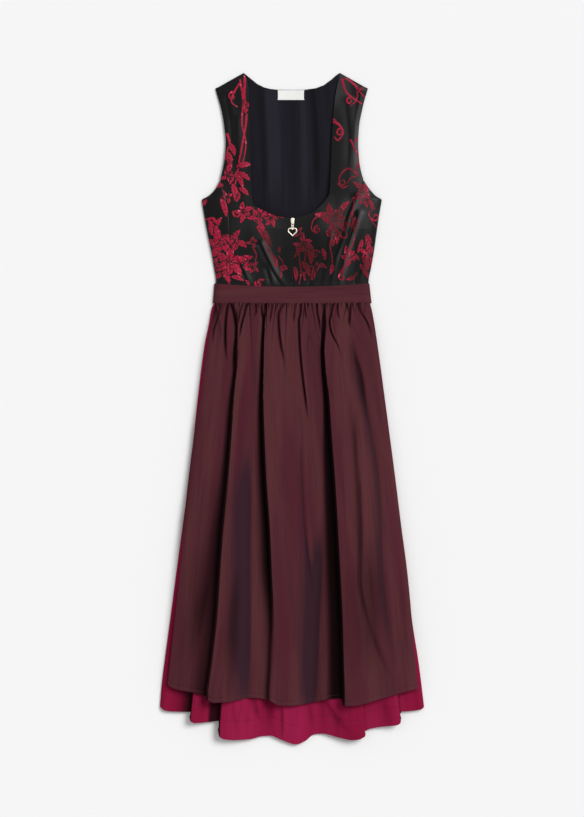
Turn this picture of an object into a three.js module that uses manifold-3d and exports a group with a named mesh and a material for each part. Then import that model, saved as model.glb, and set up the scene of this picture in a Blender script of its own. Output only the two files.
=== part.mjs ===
// A sleeveless dirndl with its apron, laid flat on its back.
// Millimetres. X runs to the right of the wearer's front as seen from above, Y towards the neck, Z up.
// While the pieces are made, the origin is the middle of the waist seam, on the surface that the dress lies on.
// At the end the whole dress is moved so that its bounding box stands centred on the origin.
import * as THREE from "three";
import { mergeVertices } from "three/addons/utils/BufferGeometryUtils.js";
import Module from "manifold-3d";

// Cloth
const WALL = 1.5; // outer cloth with its backing
const LINING_WALL = 1.0;
const LABEL_WALL = 1.0;
const BAND_WALL = 2.0; // two layers and a stiffener
const GAP = 0.3; // between pieces at a seam, and between layers that lie on each other
const RIM = WALL + GAP; // height at which a front meets the back along a side seam

// Waist
const WAIST_SEAM_Y = -17; // under the band
const WAIST_HEIGHT = 10; // top of the fronts under the band
const BAND_TOP_Y = 5;
const BAND_TOP_SAG = 7;
const BAND_BOTTOM_Y = -35.5;
const BAND_BOTTOM_SAG = 1.5;
const BAND_HEIGHT = 12.7; // top of the band
const BAND_CLEAR_TOP_Y = 10; // between these two the back lies on the back of the band
const BAND_CLEAR_BOTTOM_Y = -40;
const LIFT_TOP_Y = 38; // and beyond these two on the surface
const LIFT_BOTTOM_Y = -70;
const BAND_ROUND = 17; // how far in from its ends it is reached

// Back lining and neck label
const LINING_BOTTOM_Y = 122;
const LINING_BELOW_NECK = 1.2; // it ends just under the neck's edge
const LINING_PLEAT_FADE = 60;
const liningPleats = [
  { x: -62, height: 1.0, width: 9 },
  { x: -36, height: 1.4, width: 11 },
  { x: 30, height: 1.2, width: 10 },
  { x: 58, height: 0.9, width: 8 },
];
const LABEL_WIDTH = 54;
const LABEL_HEIGHT = 21.6;
const LABEL_X = -3.4;
const LABEL_TOP_Y = 411;

// Front zip
const SLIT_HALF = 1.8; // half the slit between the two front edges
const CHAIN_HALF = 1.3;
const CHAIN_BELOW_CLOTH = 0.2;
const TAPE_HALF = 12;
const TAPE_WALL = 1.0;
const TAPE_TOP_Y = 137;
const TAPE_BOTTOM_Y = -14;

// Slider and pull
const SLIDER_TOP_Y = 142.6;
const SLIDER_LENGTH = 14.3;
const SLIDER_WIDTH = 9.2;
const SLIDER_FOOT_WIDTH = 6.4;
const SLIDER_PLATE = 1.6;
const SLIDER_LOWER_PLATE = 1.2;
const SLIDER_POST = 2.4;
const PIN_Y = 131.2; // the pull's hinge
const PIN_RADIUS = 0.65;
const PIN_OVER_PLATE = 1.3;
const BRIDGE_WIDTH = 2.2;
const BRIDGE_WALL = 0.9;
const BRIDGE_HOLE = 2.5;
const PULL_WALL = 1.8;
const PULL_OVER_CLOTH = 0.5;
const HEART_WIDTH = 21.4;
const HEART_LENGTH = 18.7;
const HEART_RIM = 3.0;
const HEART_TOP = 9.6; // from the hinge
const HEART_NOTCH = 3.6;
const ARM_LENGTH = 4.6; // two arms join the hinge pin to a bar
const ARM_FROM_BRIDGE = 0.45;
const ROD = 1.1; // thickness of arms and bar
const RING_WALL = 1.2; // eye below the bar, and the peg that joins it to the heart
const PEG_WIDTH = 2.6;
const PEG_LENGTH = 4.2;
const EYE_RADIUS = 3.0;
const EYE_HOLE = 1.5;

// Outline of the bodice, from the waist seam up: side seam, then armhole.
const bodiceOutline = [
  { y: -17, left: -160.2, right: 159.4 },
  { y: 10, left: -160.6, right: 159.8 },
  { y: 38, left: -165, right: 165 },
  { y: 68, left: -170, right: 170.4 },
  { y: 100, left: -176.6, right: 175 },
  { y: 131, left: -182.7, right: 179.4 },
  { y: 157, left: -187.2, right: 183.4 },
  { y: 180.6, left: -190.7, right: 187.5 },
  { y: 190, left: -175.2, right: 173.9 },
  { y: 204, left: -161.4, right: 161.2 },
  { y: 220, left: -152.6, right: 150.4 },
  { y: 235, left: -148.3, right: 145 },
  { y: 265, left: -142.6, right: 139.5 },
  { y: 300, left: -139.9, right: 137.6 },
  { y: 335, left: -143, right: 139.5 },
  { y: 370, left: -149.1, right: 146 },
  { y: 393, left: -155.6, right: 151.5 },
  { y: 414.1, left: -161.9, right: 157.9 },
];
const ARMHOLE_FOOT_Y = 180.6;
const ARMHOLE_COVER_FROM_Y = 188.6; // between these two the front covers the back at the armhole
const ARMHOLE_COVER_TO_Y = 400;
const LOOSE_EDGE_FROM_FOOT = 36; // the armhole's edge comes loose over this stretch
const SIDE_FRONT_ROWS = 11; // rows of the outline that the side fronts reach, from the waist up

// Height of the loose armhole edge over the surface.
const armholeEdge = [
  { y: 180.6, height: RIM },
  { y: 205, height: 6.5 },
  { y: 260, height: 7 },
  { y: 350, height: 5.4 },
  { y: 414, height: 3.4 },
];

// Back neckline with the shoulder seams at its ends, left to right.
const neckLine = [
  { x: -161.9, y: 414.1 },
  { x: -132, y: 431 },
  { x: -103.3, y: 447.1 },
  { x: -88.6, y: 435.3 },
  { x: -74.6, y: 424 },
  { x: -60.5, y: 416.9 },
  { x: -46.4, y: 413.3 },
  { x: -30, y: 411.6 },
  { x: 0, y: 411.2 },
  { x: 24, y: 411.6 },
  { x: 49, y: 414.9 },
  { x: 66, y: 421.3 },
  { x: 83, y: 433.9 },
  { x: 92, y: 442 },
  { x: 99.8, y: 447.1 },
  { x: 128, y: 431.5 },
  { x: 157.9, y: 414.1 },
];

// Centre fronts, from the shoulder seam down. Outer is the armhole and then the princess seam.
// Inner is the strap's inner edge, the neckline and then the zip.
const centreFrontLeft = [
  { outerX: -161.9, outerY: 414.1, innerX: -103.3, innerY: 447.1 },
  { outerX: -158.6, outerY: 403, innerX: -98, innerY: 436 },
  { outerX: -155.6, outerY: 393, innerX: -94, innerY: 422 },
  { outerX: -149.1, outerY: 370, innerX: -92, innerY: 396 },
  { outerX: -143, outerY: 335, innerX: -90.8, innerY: 348 },
  { outerX: -139.9, outerY: 300, innerX: -89.5, innerY: 300 },
  { outerX: -142.6, outerY: 265, innerX: -88.6, innerY: 254 },
  { outerX: -148.3, outerY: 235, innerX: -87.6, innerY: 215 },
  { outerX: -151.2, outerY: 224, innerX: -86.8, innerY: 191 },
  { outerX: -150.5, outerY: 221, innerX: -86.4, innerY: 187 },
  { outerX: -146.5, outerY: 204, innerX: -83, innerY: 171 },
  { outerX: -141, outerY: 185, innerX: -66, innerY: 160.5 },
  { outerX: -137.2, outerY: 167, innerX: -45, innerY: 150.6 },
  { outerX: -134.8, outerY: 150, innerX: -21, innerY: 144 },
  { outerX: -133.2, outerY: 131, innerX: -SLIT_HALF, innerY: 142 },
  { outerX: -132.7, outerY: 100, innerX: -SLIT_HALF, innerY: 104 },
  { outerX: -132.7, outerY: 68, innerX: -SLIT_HALF, innerY: 70 },
  { outerX: -132.7, outerY: 38, innerX: -SLIT_HALF, innerY: 39 },
  { outerX: -132.7, outerY: 10, innerX: -SLIT_HALF, innerY: 10 },
  { outerX: -132.7, outerY: -17, innerX: -SLIT_HALF, innerY: -17 },
];
const centreFrontRight = [
  { outerX: 157.9, outerY: 414.1, innerX: 99.8, innerY: 447.1 },
  { outerX: 154.6, outerY: 403, innerX: 97.6, innerY: 436 },
  { outerX: 151.5, outerY: 393, innerX: 94, innerY: 420 },
  { outerX: 146, outerY: 370, innerX: 89.5, innerY: 396 },
  { outerX: 139.5, outerY: 335, innerX: 85, innerY: 348 },
  { outerX: 137.6, outerY: 300, innerX: 82.3, innerY: 300 },
  { outerX: 139.5, outerY: 265, innerX: 80.8, innerY: 254 },
  { outerX: 145, outerY: 235, innerX: 79.6, innerY: 220 },
  { outerX: 148.6, outerY: 224, innerX: 77.6, innerY: 194 },
  { outerX: 148, outerY: 221, innerX: 76.4, innerY: 191 },
  { outerX: 144.6, outerY: 204, innerX: 68.5, innerY: 179 },
  { outerX: 139.6, outerY: 185, innerX: 55, innerY: 164.5 },
  { outerX: 135.8, outerY: 167, innerX: 37.8, innerY: 152.5 },
  { outerX: 133.4, outerY: 150, innerX: 18, innerY: 144.8 },
  { outerX: 131.8, outerY: 131, innerX: SLIT_HALF, innerY: 142 },
  { outerX: 131.3, outerY: 100, innerX: SLIT_HALF, innerY: 104 },
  { outerX: 131.3, outerY: 68, innerX: SLIT_HALF, innerY: 70 },
  { outerX: 131.3, outerY: 38, innerX: SLIT_HALF, innerY: 39 },
  { outerX: 131.3, outerY: 10, innerX: SLIT_HALF, innerY: 10 },
  { outerX: 131.3, outerY: -17, innerX: SLIT_HALF, innerY: -17 },
];
const PRINCESS_TOP_ROW = 8; // row of the tables above where the princess seam leaves the armhole

// Height of the fronts' crown over the surface, and how far in from the outline it is reached.
const bodiceCrown = [
  { y: -17, height: WAIST_HEIGHT, round: 26 },
  { y: 8, height: WAIST_HEIGHT, round: 26 },
  { y: 40, height: 12.5, round: 30 },
  { y: 80, height: 16, round: 36 },
  { y: 120, height: 17, round: 40 },
  { y: 160, height: 15, round: 40 },
  { y: 200, height: 12.5, round: 34 },
  { y: 250, height: 10, round: 28 },
  { y: 320, height: 8, round: 24 },
  { y: 390, height: 7, round: 20 },
  { y: 447, height: 6, round: 16 },
];
const BUST_X = 82;
const BUST_Y = 112;
const BUST_RADIUS = 58;
const BUST_RISE = 8;
const BUST_FROM_Y = 6; // the bust's rise comes in between these two
const BUST_FULL_Y = 60;
const STRAP_X = 90; // beyond this, and above the next, the strap rounds down to the shoulder seam
const STRAP_Y = 390;
const SHOULDER_ROUND = 12;

// Soft folds of the fronts: a straight trough from one point to another.
const bodiceTroughs = [
  { fromX: 122, fromY: 150, toX: 74, toY: 22, width: 6, depth: 3.2 },
  { fromX: 100, fromY: 100, toX: 88, toY: 20, width: 5, depth: 2 },
  { fromX: -63, fromY: 76, toX: -24, toY: 18, width: 6, depth: 2.6 },
  { fromX: -110, fromY: 56, toX: -95, toY: 20, width: 5, depth: 1.6 },
];
const TROUGH_FADES_FROM = 34; // troughs die out between these two heights above the waist
const TROUGH_FADES_TO = 12;

// Outline of the skirt below the band.
const skirtOutline = [
  { y: -17, left: -160.2, right: 159.4 },
  { y: -37, left: -163.2, right: 161.8 },
  { y: -44, left: -168.6, right: 164.4 },
  { y: -80, left: -175.6, right: 171.6 },
  { y: -123, left: -184.4, right: 178.4 },
  { y: -239, left: -199.3, right: 193.6 },
  { y: -359, left: -212.2, right: 210 },
  { y: -420, left: -219.4, right: 217.3 },
  { y: -492, left: -229.4, right: 226.2 },
  { y: -607, left: -244.7, right: 241.2 },
  { y: -698, left: -256.6, right: 250.5 },
  { y: -785, left: -268.2, right: 264 },
  { y: -842, left: -275.1, right: 271.4 },
  { y: -884, left: -278.5, right: 276.2 },
];
const skirtCrown = [
  { y: -17, height: WAIST_HEIGHT, round: 26 },
  { y: -37, height: WAIST_HEIGHT, round: 24 },
  { y: -70, height: 12, round: 20 },
  { y: -240, height: 12, round: 16 },
  { y: -600, height: 11, round: 14 },
  { y: -960, height: 8.5, round: 12 },
];

// Folds of the skirt front that show as steps in its hem. Rises is +1 where the cloth rises to the right.
const skirtFolds = [
  { name: "outer left", xWaist: -118, xHem: -215.3, rises: 1, turn: 158, run: 17 },
  { name: "inner left", xWaist: -84, xHem: -152.3, rises: 1, turn: 168, run: 20 },
  { name: "inner right", xWaist: 82, xHem: 149.5, rises: -1, turn: 162, run: 18 },
  { name: "outer right", xWaist: 120, xHem: 227, rises: -1, turn: 158, run: 17 },
];
const SKIRT_FOLD_START_Y = -260;
const SKIRT_FOLD_FULL_Y = -780;
const SKIRT_FOLD_HEM_Y = -930; // where xHem holds
const FOLD_SHOULDER = 52; // how far a raised fold edge takes to sink back to the crown
const SHOULDER_SHARE = 0.42; // most of a stretch that it takes
const FOLD_STEPS = 8;

// Hem line of the skirt front, one list for each stretch between folds.
const skirtHem = [
  [
    { x: -278.5, y: -883 },
    { x: -268, y: -890.5 },
    { x: -256, y: -892.8 },
    { x: -215, y: -893.6 },
  ],
  [
    { x: -215, y: -911 },
    { x: -206, y: -916.5 },
    { x: -190, y: -916 },
    { x: -152, y: -911.8 },
  ],
  [
    { x: -152, y: -943.5 },
    { x: -142, y: -949.5 },
    { x: -124, y: -952.4 },
    { x: -92, y: -951 },
    { x: -62, y: -944.4 },
    { x: -46, y: -943.6 },
    { x: -24, y: -952 },
    { x: 8, y: -961.8 },
    { x: 28, y: -954 },
    { x: 45, y: -941 },
    { x: 63, y: -939.5 },
    { x: 100, y: -948 },
    { x: 126, y: -952.6 },
    { x: 142, y: -951 },
    { x: 149.5, y: -946 },
  ],
  [
    { x: 149.5, y: -935.6 },
    { x: 160, y: -929.8 },
    { x: 190, y: -924.4 },
    { x: 222, y: -921 },
    { x: 227, y: -916.4 },
  ],
  [
    { x: 227, y: -893 },
    { x: 250, y: -891.6 },
    { x: 268, y: -889 },
    { x: 276.2, y: -884 },
  ],
];
const SKIRT_SPAN_COLUMNS = [3, 4, 14, 4, 3];

// Soft waves of the skirt front near its hem, as ridges with a height and troughs with a depth.
const skirtTroughs = [
  { fromX: -46, fromY: -790, toX: -54, toY: -970, width: 15, depth: 4.5 },
  { fromX: 52, fromY: -790, toX: 58, toY: -970, width: 17, depth: 5 },
  { fromX: 8, fromY: -780, toX: 8, toY: -970, width: 20, depth: -4 },
  { fromX: 118, fromY: -800, toX: 122, toY: -970, width: 16, depth: -3 },
  { fromX: -112, fromY: -800, toX: -112, toY: -970, width: 24, depth: -2.5 },
];

// Skirt back: its hem stays just inside the front's.
const skirtBackHem = [
  { x: -278.5, y: -883 },
  { x: -262, y: -888 },
  { x: -216, y: -889 },
  { x: -156, y: -907 },
  { x: -120, y: -932 },
  { x: -50, y: -938 },
  { x: 0, y: -944 },
  { x: 56, y: -934 },
  { x: 120, y: -934 },
  { x: 156, y: -926 },
  { x: 215, y: -914 },
  { x: 234, y: -889 },
  { x: 262, y: -887 },
  { x: 276.2, y: -884 },
];

// Apron panel: its side edges and its three deep folds on the way down.
const apronPaths = [
  { y: -37, left: -162, foldA: -119, foldB: -57, foldC: 68, right: 160.6 },
  { y: -60, left: -166.5, foldA: -119.8, foldB: -59, foldC: 66.5, right: 167 },
  { y: -139, left: -181, foldA: -121.8, foldB: -63.2, foldC: 64, right: 180.6 },
  { y: -239, left: -194.3, foldA: -127.1, foldB: -64, foldC: 74.3, right: 194.1 },
  { y: -311, left: -206.2, foldA: -130.4, foldB: -62, foldC: 79.2, right: 203.6 },
  { y: -407, left: -218.6, foldA: -137.8, foldB: -57.8, foldC: 86.3, right: 216.2 },
  { y: -504, left: -229, foldA: -147.4, foldB: -51, foldC: 92, right: 228.2 },
  { y: -601, left: -236.8, foldA: -154.6, foldB: -46.6, foldC: 97.2, right: 240.9 },
  { y: -698, left: -246.8, foldA: -161, foldB: -42.6, foldC: 101.9, right: 250.2 },
  { y: -775, left: -255.2, foldA: -169.5, foldB: -45, foldC: 104, right: 256.4 },
  { y: -848, left: -263, foldA: -179.5, foldB: -49, foldC: 106.3, right: 263.6 },
];
const apronFolds = [
  { name: "foldA", rises: 1, turn: 128, run: 19, startY: -120, fullY: -420 },
  { name: "foldB", rises: 1, turn: 120, run: 17, startY: -60, fullY: -480 },
  { name: "foldC", rises: 1, turn: 132, run: 19, startY: -60, fullY: -420 },
];
const APRON_FOLD_SHOULDER = 60;
const apronHem = [
  [
    { x: -263, y: -832 },
    { x: -259, y: -840 },
    { x: -237, y: -847.4 },
    { x: -212, y: -852 },
    { x: -184, y: -860 },
  ],
  [
    { x: -184, y: -869 },
    { x: -172, y: -873.2 },
    { x: -141, y: -872 },
    { x: -110, y: -867 },
    { x: -92, y: -863.6 },
    { x: -72, y: -864.4 },
    { x: -50, y: -868 },
  ],
  [
    { x: -50, y: -870 },
    { x: -32, y: -879 },
    { x: -14, y: -880.3 },
    { x: 17, y: -878 },
    { x: 63, y: -869 },
    { x: 97, y: -864.4 },
    { x: 106.5, y: -866.5 },
  ],
  [
    { x: 106.5, y: -879.7 },
    { x: 126, y: -880 },
    { x: 164, y: -871.5 },
    { x: 212, y: -857.6 },
    { x: 263.6, y: -844 },
  ],
];
const APRON_SPAN_COLUMNS = [8, 13, 14, 14];
const apronTroughs = [
  { fromX: 124, fromY: -115, toX: 172, toY: -420, width: 13, depth: 3 },
  { fromX: 172, fromY: -420, toX: 186, toY: -590, width: 15, depth: 3 },
  { fromX: 128, fromY: -240, toX: 139, toY: -600, width: 9, depth: 2.4 },
  { fromX: 139, fromY: -600, toX: 204, toY: -835, width: 11, depth: 2.4 },
  { fromX: 12, fromY: -50, toX: 36, toY: -400, width: 9, depth: 2.6 },
  { fromX: -168, fromY: -560, toX: -208, toY: -790, width: 15, depth: 3 },
  { fromX: -88, fromY: -345, toX: -88, toY: -870, width: 17, depth: 3.4 },
  { fromX: 54, fromY: -640, toX: 56, toY: -880, width: 16, depth: 3.4 },
];
const APRON_LIFT = 4; // air between apron and skirt, which the troughs use up
const GATHER_HEIGHT = 1.5; // of the ruffled gathers at the band
const GATHER_LENGTH = 34;
const SWELL_HEIGHT = 1.6; // the cloth swells out just below the band
const SWELL_BELOW = 16;
const SWELL_LENGTH = 14;
const EDGE_ROUND = 12; // stretch beside a side edge where a panel's columns lie closer together

// Fractions of a panel's length at which its sections lie, closer together at the gathers.
const skirtRows = [0, 0.0262, 0.0609, 0.12, 0.23, 0.37, 0.51, 0.65, 0.78, 0.88, 0.95, 1];
const apronRows = [0, 0.007, 0.018, 0.034, 0.056, 0.09, 0.15, 0.23, 0.33, 0.44, 0.55, 0.66, 0.78, 0.9, 1];
const edgeShares = [0, 0.03, 0.14, 0.36, 0.7]; // shares of the edge's rounding at which columns lie

// Colours
const brocade = { color: 0x4a1a26, roughness: 0.5, metalness: 0 };
const liningCloth = { color: 0x26242a, roughness: 0.8, metalness: 0 };
const labelCloth = { color: 0xf6f5f1, roughness: 0.7, metalness: 0 };
const taffeta = { color: 0x542c32, roughness: 0.5, metalness: 0 };
const skirtCloth = { color: 0x841c3c, roughness: 0.65, metalness: 0 };
const zipTape = { color: 0x1c1a1c, roughness: 0.7, metalness: 0 };
const gold = { color: 0xd8bf82, roughness: 0.3, metalness: 1 };

const { lerp, smoothstep, clamp, degToRad } = THREE.MathUtils;

// Value of a named column of a table at a key, along straight lines between its rows.
function read(table, keyName, key, column) {
  const rising = table[table.length - 1][keyName] > table[0][keyName];
  const before = (row) => (rising ? row[keyName] <= key : row[keyName] >= key);
  let at = 0;
  while (at < table.length - 2 && before(table[at + 1])) at += 1;
  const first = table[at];
  const second = table[at + 1];
  const share = clamp((key - first[keyName]) / (second[keyName] - first[keyName]), 0, 1);
  return lerp(first[column], second[column], share);
}

function edgesAt(outline, y) {
  return { left: read(outline, "y", y, "left"), right: read(outline, "y", y, "right") };
}

// Quarter of an ellipse: 0 at the edge, where it stands upright, and 1 from one radius in.
function ellipseRise(distance, radius) {
  const short = 1 - clamp(distance / radius, 0, 1);
  return Math.sqrt(Math.max(0, 1 - short * short));
}

// Depth of a list of straight, soft troughs at a point.
function troughDepth(troughs, x, y) {
  let depth = 0;
  for (const trough of troughs) {
    const alongX = trough.toX - trough.fromX;
    const alongY = trough.toY - trough.fromY;
    const lengthSquared = alongX * alongX + alongY * alongY;
    const offX = x - trough.fromX;
    const offY = y - trough.fromY;
    const share = clamp((offX * alongX + offY * alongY) / lengthSquared, 0, 1);
    const apart = Math.hypot(offX - alongX * share, offY - alongY * share);
    depth += trough.depth * Math.exp(-((apart / trough.width) ** 2));
  }
  return depth;
}

// The back of the dress lies 0.3 mm over the back of the band, and on the surface elsewhere.
function backLift(y) {
  const above = clamp((LIFT_TOP_Y - y) / (LIFT_TOP_Y - BAND_CLEAR_TOP_Y), 0, 1);
  const below = clamp((y - LIFT_BOTTOM_Y) / (BAND_CLEAR_BOTTOM_Y - LIFT_BOTTOM_Y), 0, 1);
  return RIM * Math.min(above, below);
}

// Closed wall between two grids of points, rows from neck to hem and columns from left to right.
function wallGeometry(outer, inner) {
  const rows = outer.length;
  const columns = outer[0].length;
  const positions = [];
  for (const grid of [outer, inner]) for (const row of grid) for (const p of row) positions.push(p.x, p.y, p.z);
  const at = (side, row, column) => (side * rows + row) * columns + column;
  const index = [];
  const quad = (a, b, c, d) => index.push(a, b, c, a, c, d);
  for (let r = 0; r < rows - 1; r += 1) {
    for (let c = 0; c < columns - 1; c += 1) {
      quad(at(0, r, c), at(0, r + 1, c), at(0, r + 1, c + 1), at(0, r, c + 1));
      quad(at(1, r, c), at(1, r, c + 1), at(1, r + 1, c + 1), at(1, r + 1, c));
    }
    quad(at(0, r + 1, 0), at(0, r, 0), at(1, r, 0), at(1, r + 1, 0));
    quad(at(0, r, columns - 1), at(0, r + 1, columns - 1), at(1, r + 1, columns - 1), at(1, r, columns - 1));
  }
  for (let c = 0; c < columns - 1; c += 1) {
    quad(at(0, 0, c), at(0, 0, c + 1), at(1, 0, c + 1), at(1, 0, c));
    quad(at(0, rows - 1, c + 1), at(0, rows - 1, c), at(1, rows - 1, c), at(1, rows - 1, c + 1));
  }
  const geometry = new THREE.BufferGeometry();
  geometry.setAttribute("position", new THREE.Float32BufferAttribute(positions, 3));
  geometry.setIndex(index);
  return geometry;
}

// The grid moved inwards by the wall's thickness, square to the cloth. Rims stay level where they stand on a seam.
// Where the top is a height over the surface, its own slope gives the direction, so that two pieces agree at a seam.
function inset(outer, thickness, rims = {}, height = null) {
  const rows = outer.length;
  const columns = outer[0].length;
  return outer.map((row, r) =>
    row.map((point, c) => {
      const across = new THREE.Vector3().subVectors(
        row[Math.min(c + 1, columns - 1)],
        row[Math.max(c - 1, 0)],
      );
      const down = new THREE.Vector3().subVectors(
        outer[Math.min(r + 1, rows - 1)][c],
        outer[Math.max(r - 1, 0)][c],
      );
      const outwards = new THREE.Vector3().crossVectors(down, across);
      const onRim =
        (rims.left && c === 0) || (rims.right && c === columns - 1) || (rims.top && r === 0);
      if (height && !onRim) {
        const slopeX = (height(point.x + 1, point.y) - height(point.x - 1, point.y)) / 2;
        const slopeY = (height(point.x, point.y + 1) - height(point.x, point.y - 1)) / 2;
        outwards.set(-slopeX, -slopeY, 1);
      }
      if (onRim) outwards.z = 0;
      return point.clone().addScaledVector(outwards.normalize(), -thickness);
    }),
  );
}

function piece(name, geometry, look) {
  geometry.computeVertexNormals();
  const mesh = new THREE.Mesh(geometry, new THREE.MeshStandardMaterial(look));
  mesh.name = name;
  return mesh;
}

// Bodice

// Top of the fronts over the surface.
function bodiceTop(x, y) {
  const edges = edgesAt(bodiceOutline, y);
  const fromSide = Math.min(x - edges.left, edges.right - x);
  const round = read(bodiceCrown, "y", y, "round");
  const ellipse = ellipseRise(fromSide, round);
  const loose = smoothstep(y, ARMHOLE_FOOT_Y, ARMHOLE_FOOT_Y + LOOSE_EDGE_FROM_FOOT);
  const edgeRise = lerp(ellipse, ellipse * ellipse, loose);
  const edgeHeight = y > ARMHOLE_FOOT_Y ? read(armholeEdge, "y", y, "height") : backLift(y) + RIM;
  const fromBust = Math.hypot(Math.abs(x) - BUST_X, y - BUST_Y) / BUST_RADIUS;
  const bust = BUST_RISE * Math.exp(-fromBust * fromBust);
  const fade = smoothstep(y, TROUGH_FADES_TO, TROUGH_FADES_FROM);
  const folds = troughDepth(bodiceTroughs, x, y) * fade;
  const crown = read(bodiceCrown, "y", y, "height") + bust * smoothstep(y, BUST_FROM_Y, BUST_FULL_Y) - folds;
  const body = lerp(edgeHeight, crown, edgeRise);
  const fromShoulder = read(neckLine, "x", x, "y") - y;
  const onStrap = Math.abs(x) > STRAP_X && y > STRAP_Y;
  return onStrap ? lerp(RIM, body, ellipseRise(fromShoulder, SHOULDER_ROUND)) : body;
}

// Grid of a front between its outer and inner edges, left to right.
function frontGrid(rows, shares) {
  return rows.map((row) =>
    shares.map((share) => {
      const x = lerp(row.leftX, row.rightX, share);
      const y = lerp(row.leftY, row.rightY, share);
      return new THREE.Vector3(x, y, bodiceTop(x, y));
    }),
  );
}

function centreFront(name, table, side) {
  const princessGap = (rowNumber) => (rowNumber > PRINCESS_TOP_ROW ? (-side * GAP) / 2 : 0);
  const rows = table.map((row, number) => {
    const outer = { x: row.outerX + princessGap(number), y: row.outerY };
    const inner = { x: row.innerX, y: row.innerY };
    const [first, last] = side < 0 ? [outer, inner] : [inner, outer];
    return { leftX: first.x, leftY: first.y, rightX: last.x, rightY: last.y };
  });
  const shares = [0, 0.07, 0.17, 0.29, 0.42, 0.55, 0.68, 0.8, 0.91, 1];
  const outwards = side < 0 ? shares : shares.map((share) => 1 - share).reverse();
  const outer = frontGrid(rows, outwards);
  return piece(name, wallGeometry(outer, inset(outer, WALL, { top: true }, bodiceTop)), brocade);
}

// A side front runs from the side seam, and above it the armhole, to the princess seam.
function sideFront(name, table, side) {
  const column = side < 0 ? "left" : "right";
  const sideRows = bodiceOutline.slice(0, SIDE_FRONT_ROWS).reverse();
  const princess = table.slice(PRINCESS_TOP_ROW + 1);
  const rows = sideRows.map((row, number) => {
    const outer = { x: row[column], y: row.y };
    const inner = { x: princess[number].outerX + (side * GAP) / 2, y: princess[number].outerY };
    const [first, last] = side < 0 ? [outer, inner] : [inner, outer];
    return { leftX: first.x, leftY: first.y, rightX: last.x, rightY: last.y };
  });
  const shares = [0, 0.03, 0.1, 0.25, 0.5, 0.75, 1];
  const outwards = side < 0 ? shares : shares.map((share) => 1 - share).reverse();
  const outer = frontGrid(rows, outwards);
  const rims = side < 0 ? { left: true } : { right: true };
  return piece(name, wallGeometry(outer, inset(outer, WALL, rims, bodiceTop)), brocade);
}

// Grid of the back from the neckline and shoulder seams down to a lower edge.
function backGrid(columns, rowShares, bottomY, height, edgeInset) {
  const tipLeft = neckLine[0].x;
  const tipRight = neckLine[neckLine.length - 1].x;
  return rowShares.map((share) =>
    columns.map((topX) => {
      const y = lerp(read(neckLine, "x", topX, "y") - edgeInset, bottomY, share);
      const edges = edgesAt(bodiceOutline, y);
      const inEdge = y > ARMHOLE_COVER_FROM_Y && y < ARMHOLE_COVER_TO_Y ? 1 : 0;
      const across = (topX - tipLeft) / (tipRight - tipLeft);
      const x = lerp(edges.left + inEdge, edges.right - inEdge, across);
      return new THREE.Vector3(x, y, height(x, y));
    }),
  );
}

function flatWall(top, thickness) {
  return wallGeometry(
    top,
    top.map((row) => row.map((p) => new THREE.Vector3(p.x, p.y, p.z - thickness))),
  );
}

function bodiceBack() {
  const columns = neckLine.map((point) => point.x);
  const tipY = neckLine[0].y;
  const rowShares = bodiceOutline.map((row) => (tipY - row.y) / (tipY - WAIST_SEAM_Y)).reverse();
  const top = backGrid(columns, rowShares, WAIST_SEAM_Y, (x, y) => backLift(y) + WALL, 0);
  return piece("bodice_back", flatWall(top, WALL), brocade);
}

// The lining lies on the back inside the neck and runs a little way under the straps and the front neckline.
function liningTop(x, y) {
  const fade = smoothstep(LABEL_TOP_Y - y, 0, LINING_PLEAT_FADE);
  let height = WALL + GAP + LINING_WALL;
  for (const pleat of liningPleats) {
    height += pleat.height * fade * Math.exp(-(((x - pleat.x) / pleat.width) ** 2));
  }
  return height;
}

function backLining() {
  const columns = [-99, -88.6, -74.6, -62, -50, -40, -28, -12, 8, 20, 30, 42, 56, 66, 80, 88, 95];
  const rows = [0, 0.03, 0.1, 0.22, 0.4, 0.6, 0.8, 1];
  const top = rows.map((share) =>
    columns.map((x) => {
      const y = lerp(read(neckLine, "x", x, "y") - LINING_BELOW_NECK, LINING_BOTTOM_Y, share);
      return new THREE.Vector3(x, y, liningTop(x, y));
    }),
  );
  return piece("back_lining", flatWall(top, LINING_WALL), liningCloth);
}

function neckLabel() {
  const top = [0, 0.5, 1].map((down) =>
    [-0.5, -0.25, 0, 0.25, 0.5].map((across) => {
      const x = LABEL_X + LABEL_WIDTH * across;
      const y = LABEL_TOP_Y - LABEL_HEIGHT * down;
      return new THREE.Vector3(x, y, liningTop(x, y) + GAP + LABEL_WALL);
    }),
  );
  return piece("neck_label", flatWall(top, LABEL_WALL), labelCloth);
}

// Front zip

function tapeTop(y) {
  return bodiceTop(SLIT_HALF, y) - WALL - 3 * GAP;
}

// Closed zip: the tape runs behind both front edges and its chain stands up in the slit.
function zipTapePiece() {
  const frontRows = centreFrontLeft.map((row) => row.innerY).filter((y) => y < TAPE_TOP_Y && y > TAPE_BOTTOM_Y);
  const ys = [TAPE_TOP_Y, ...frontRows, TAPE_BOTTOM_Y];
  const acrossTape = [-TAPE_HALF, -CHAIN_HALF, -CHAIN_HALF, CHAIN_HALF, CHAIN_HALF, TAPE_HALF];
  const onChain = [false, false, true, true, false, false];
  const outer = ys.map((y) =>
    acrossTape.map((x, column) => {
      const chainTop = bodiceTop(SLIT_HALF, y) - CHAIN_BELOW_CLOTH;
      return new THREE.Vector3(x, y, onChain[column] ? chainTop : tapeTop(y));
    }),
  );
  const inner = ys.map((y) =>
    acrossTape.map((x) => new THREE.Vector3(x, y, tapeTop(y) - TAPE_WALL)),
  );
  return piece("zip_tape", mergeVertices(wallGeometry(outer, inner), 1e-4), zipTape);
}

// Slider and pull are joined from simple solids.
const wasm = await Module();
wasm.setup();

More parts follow.
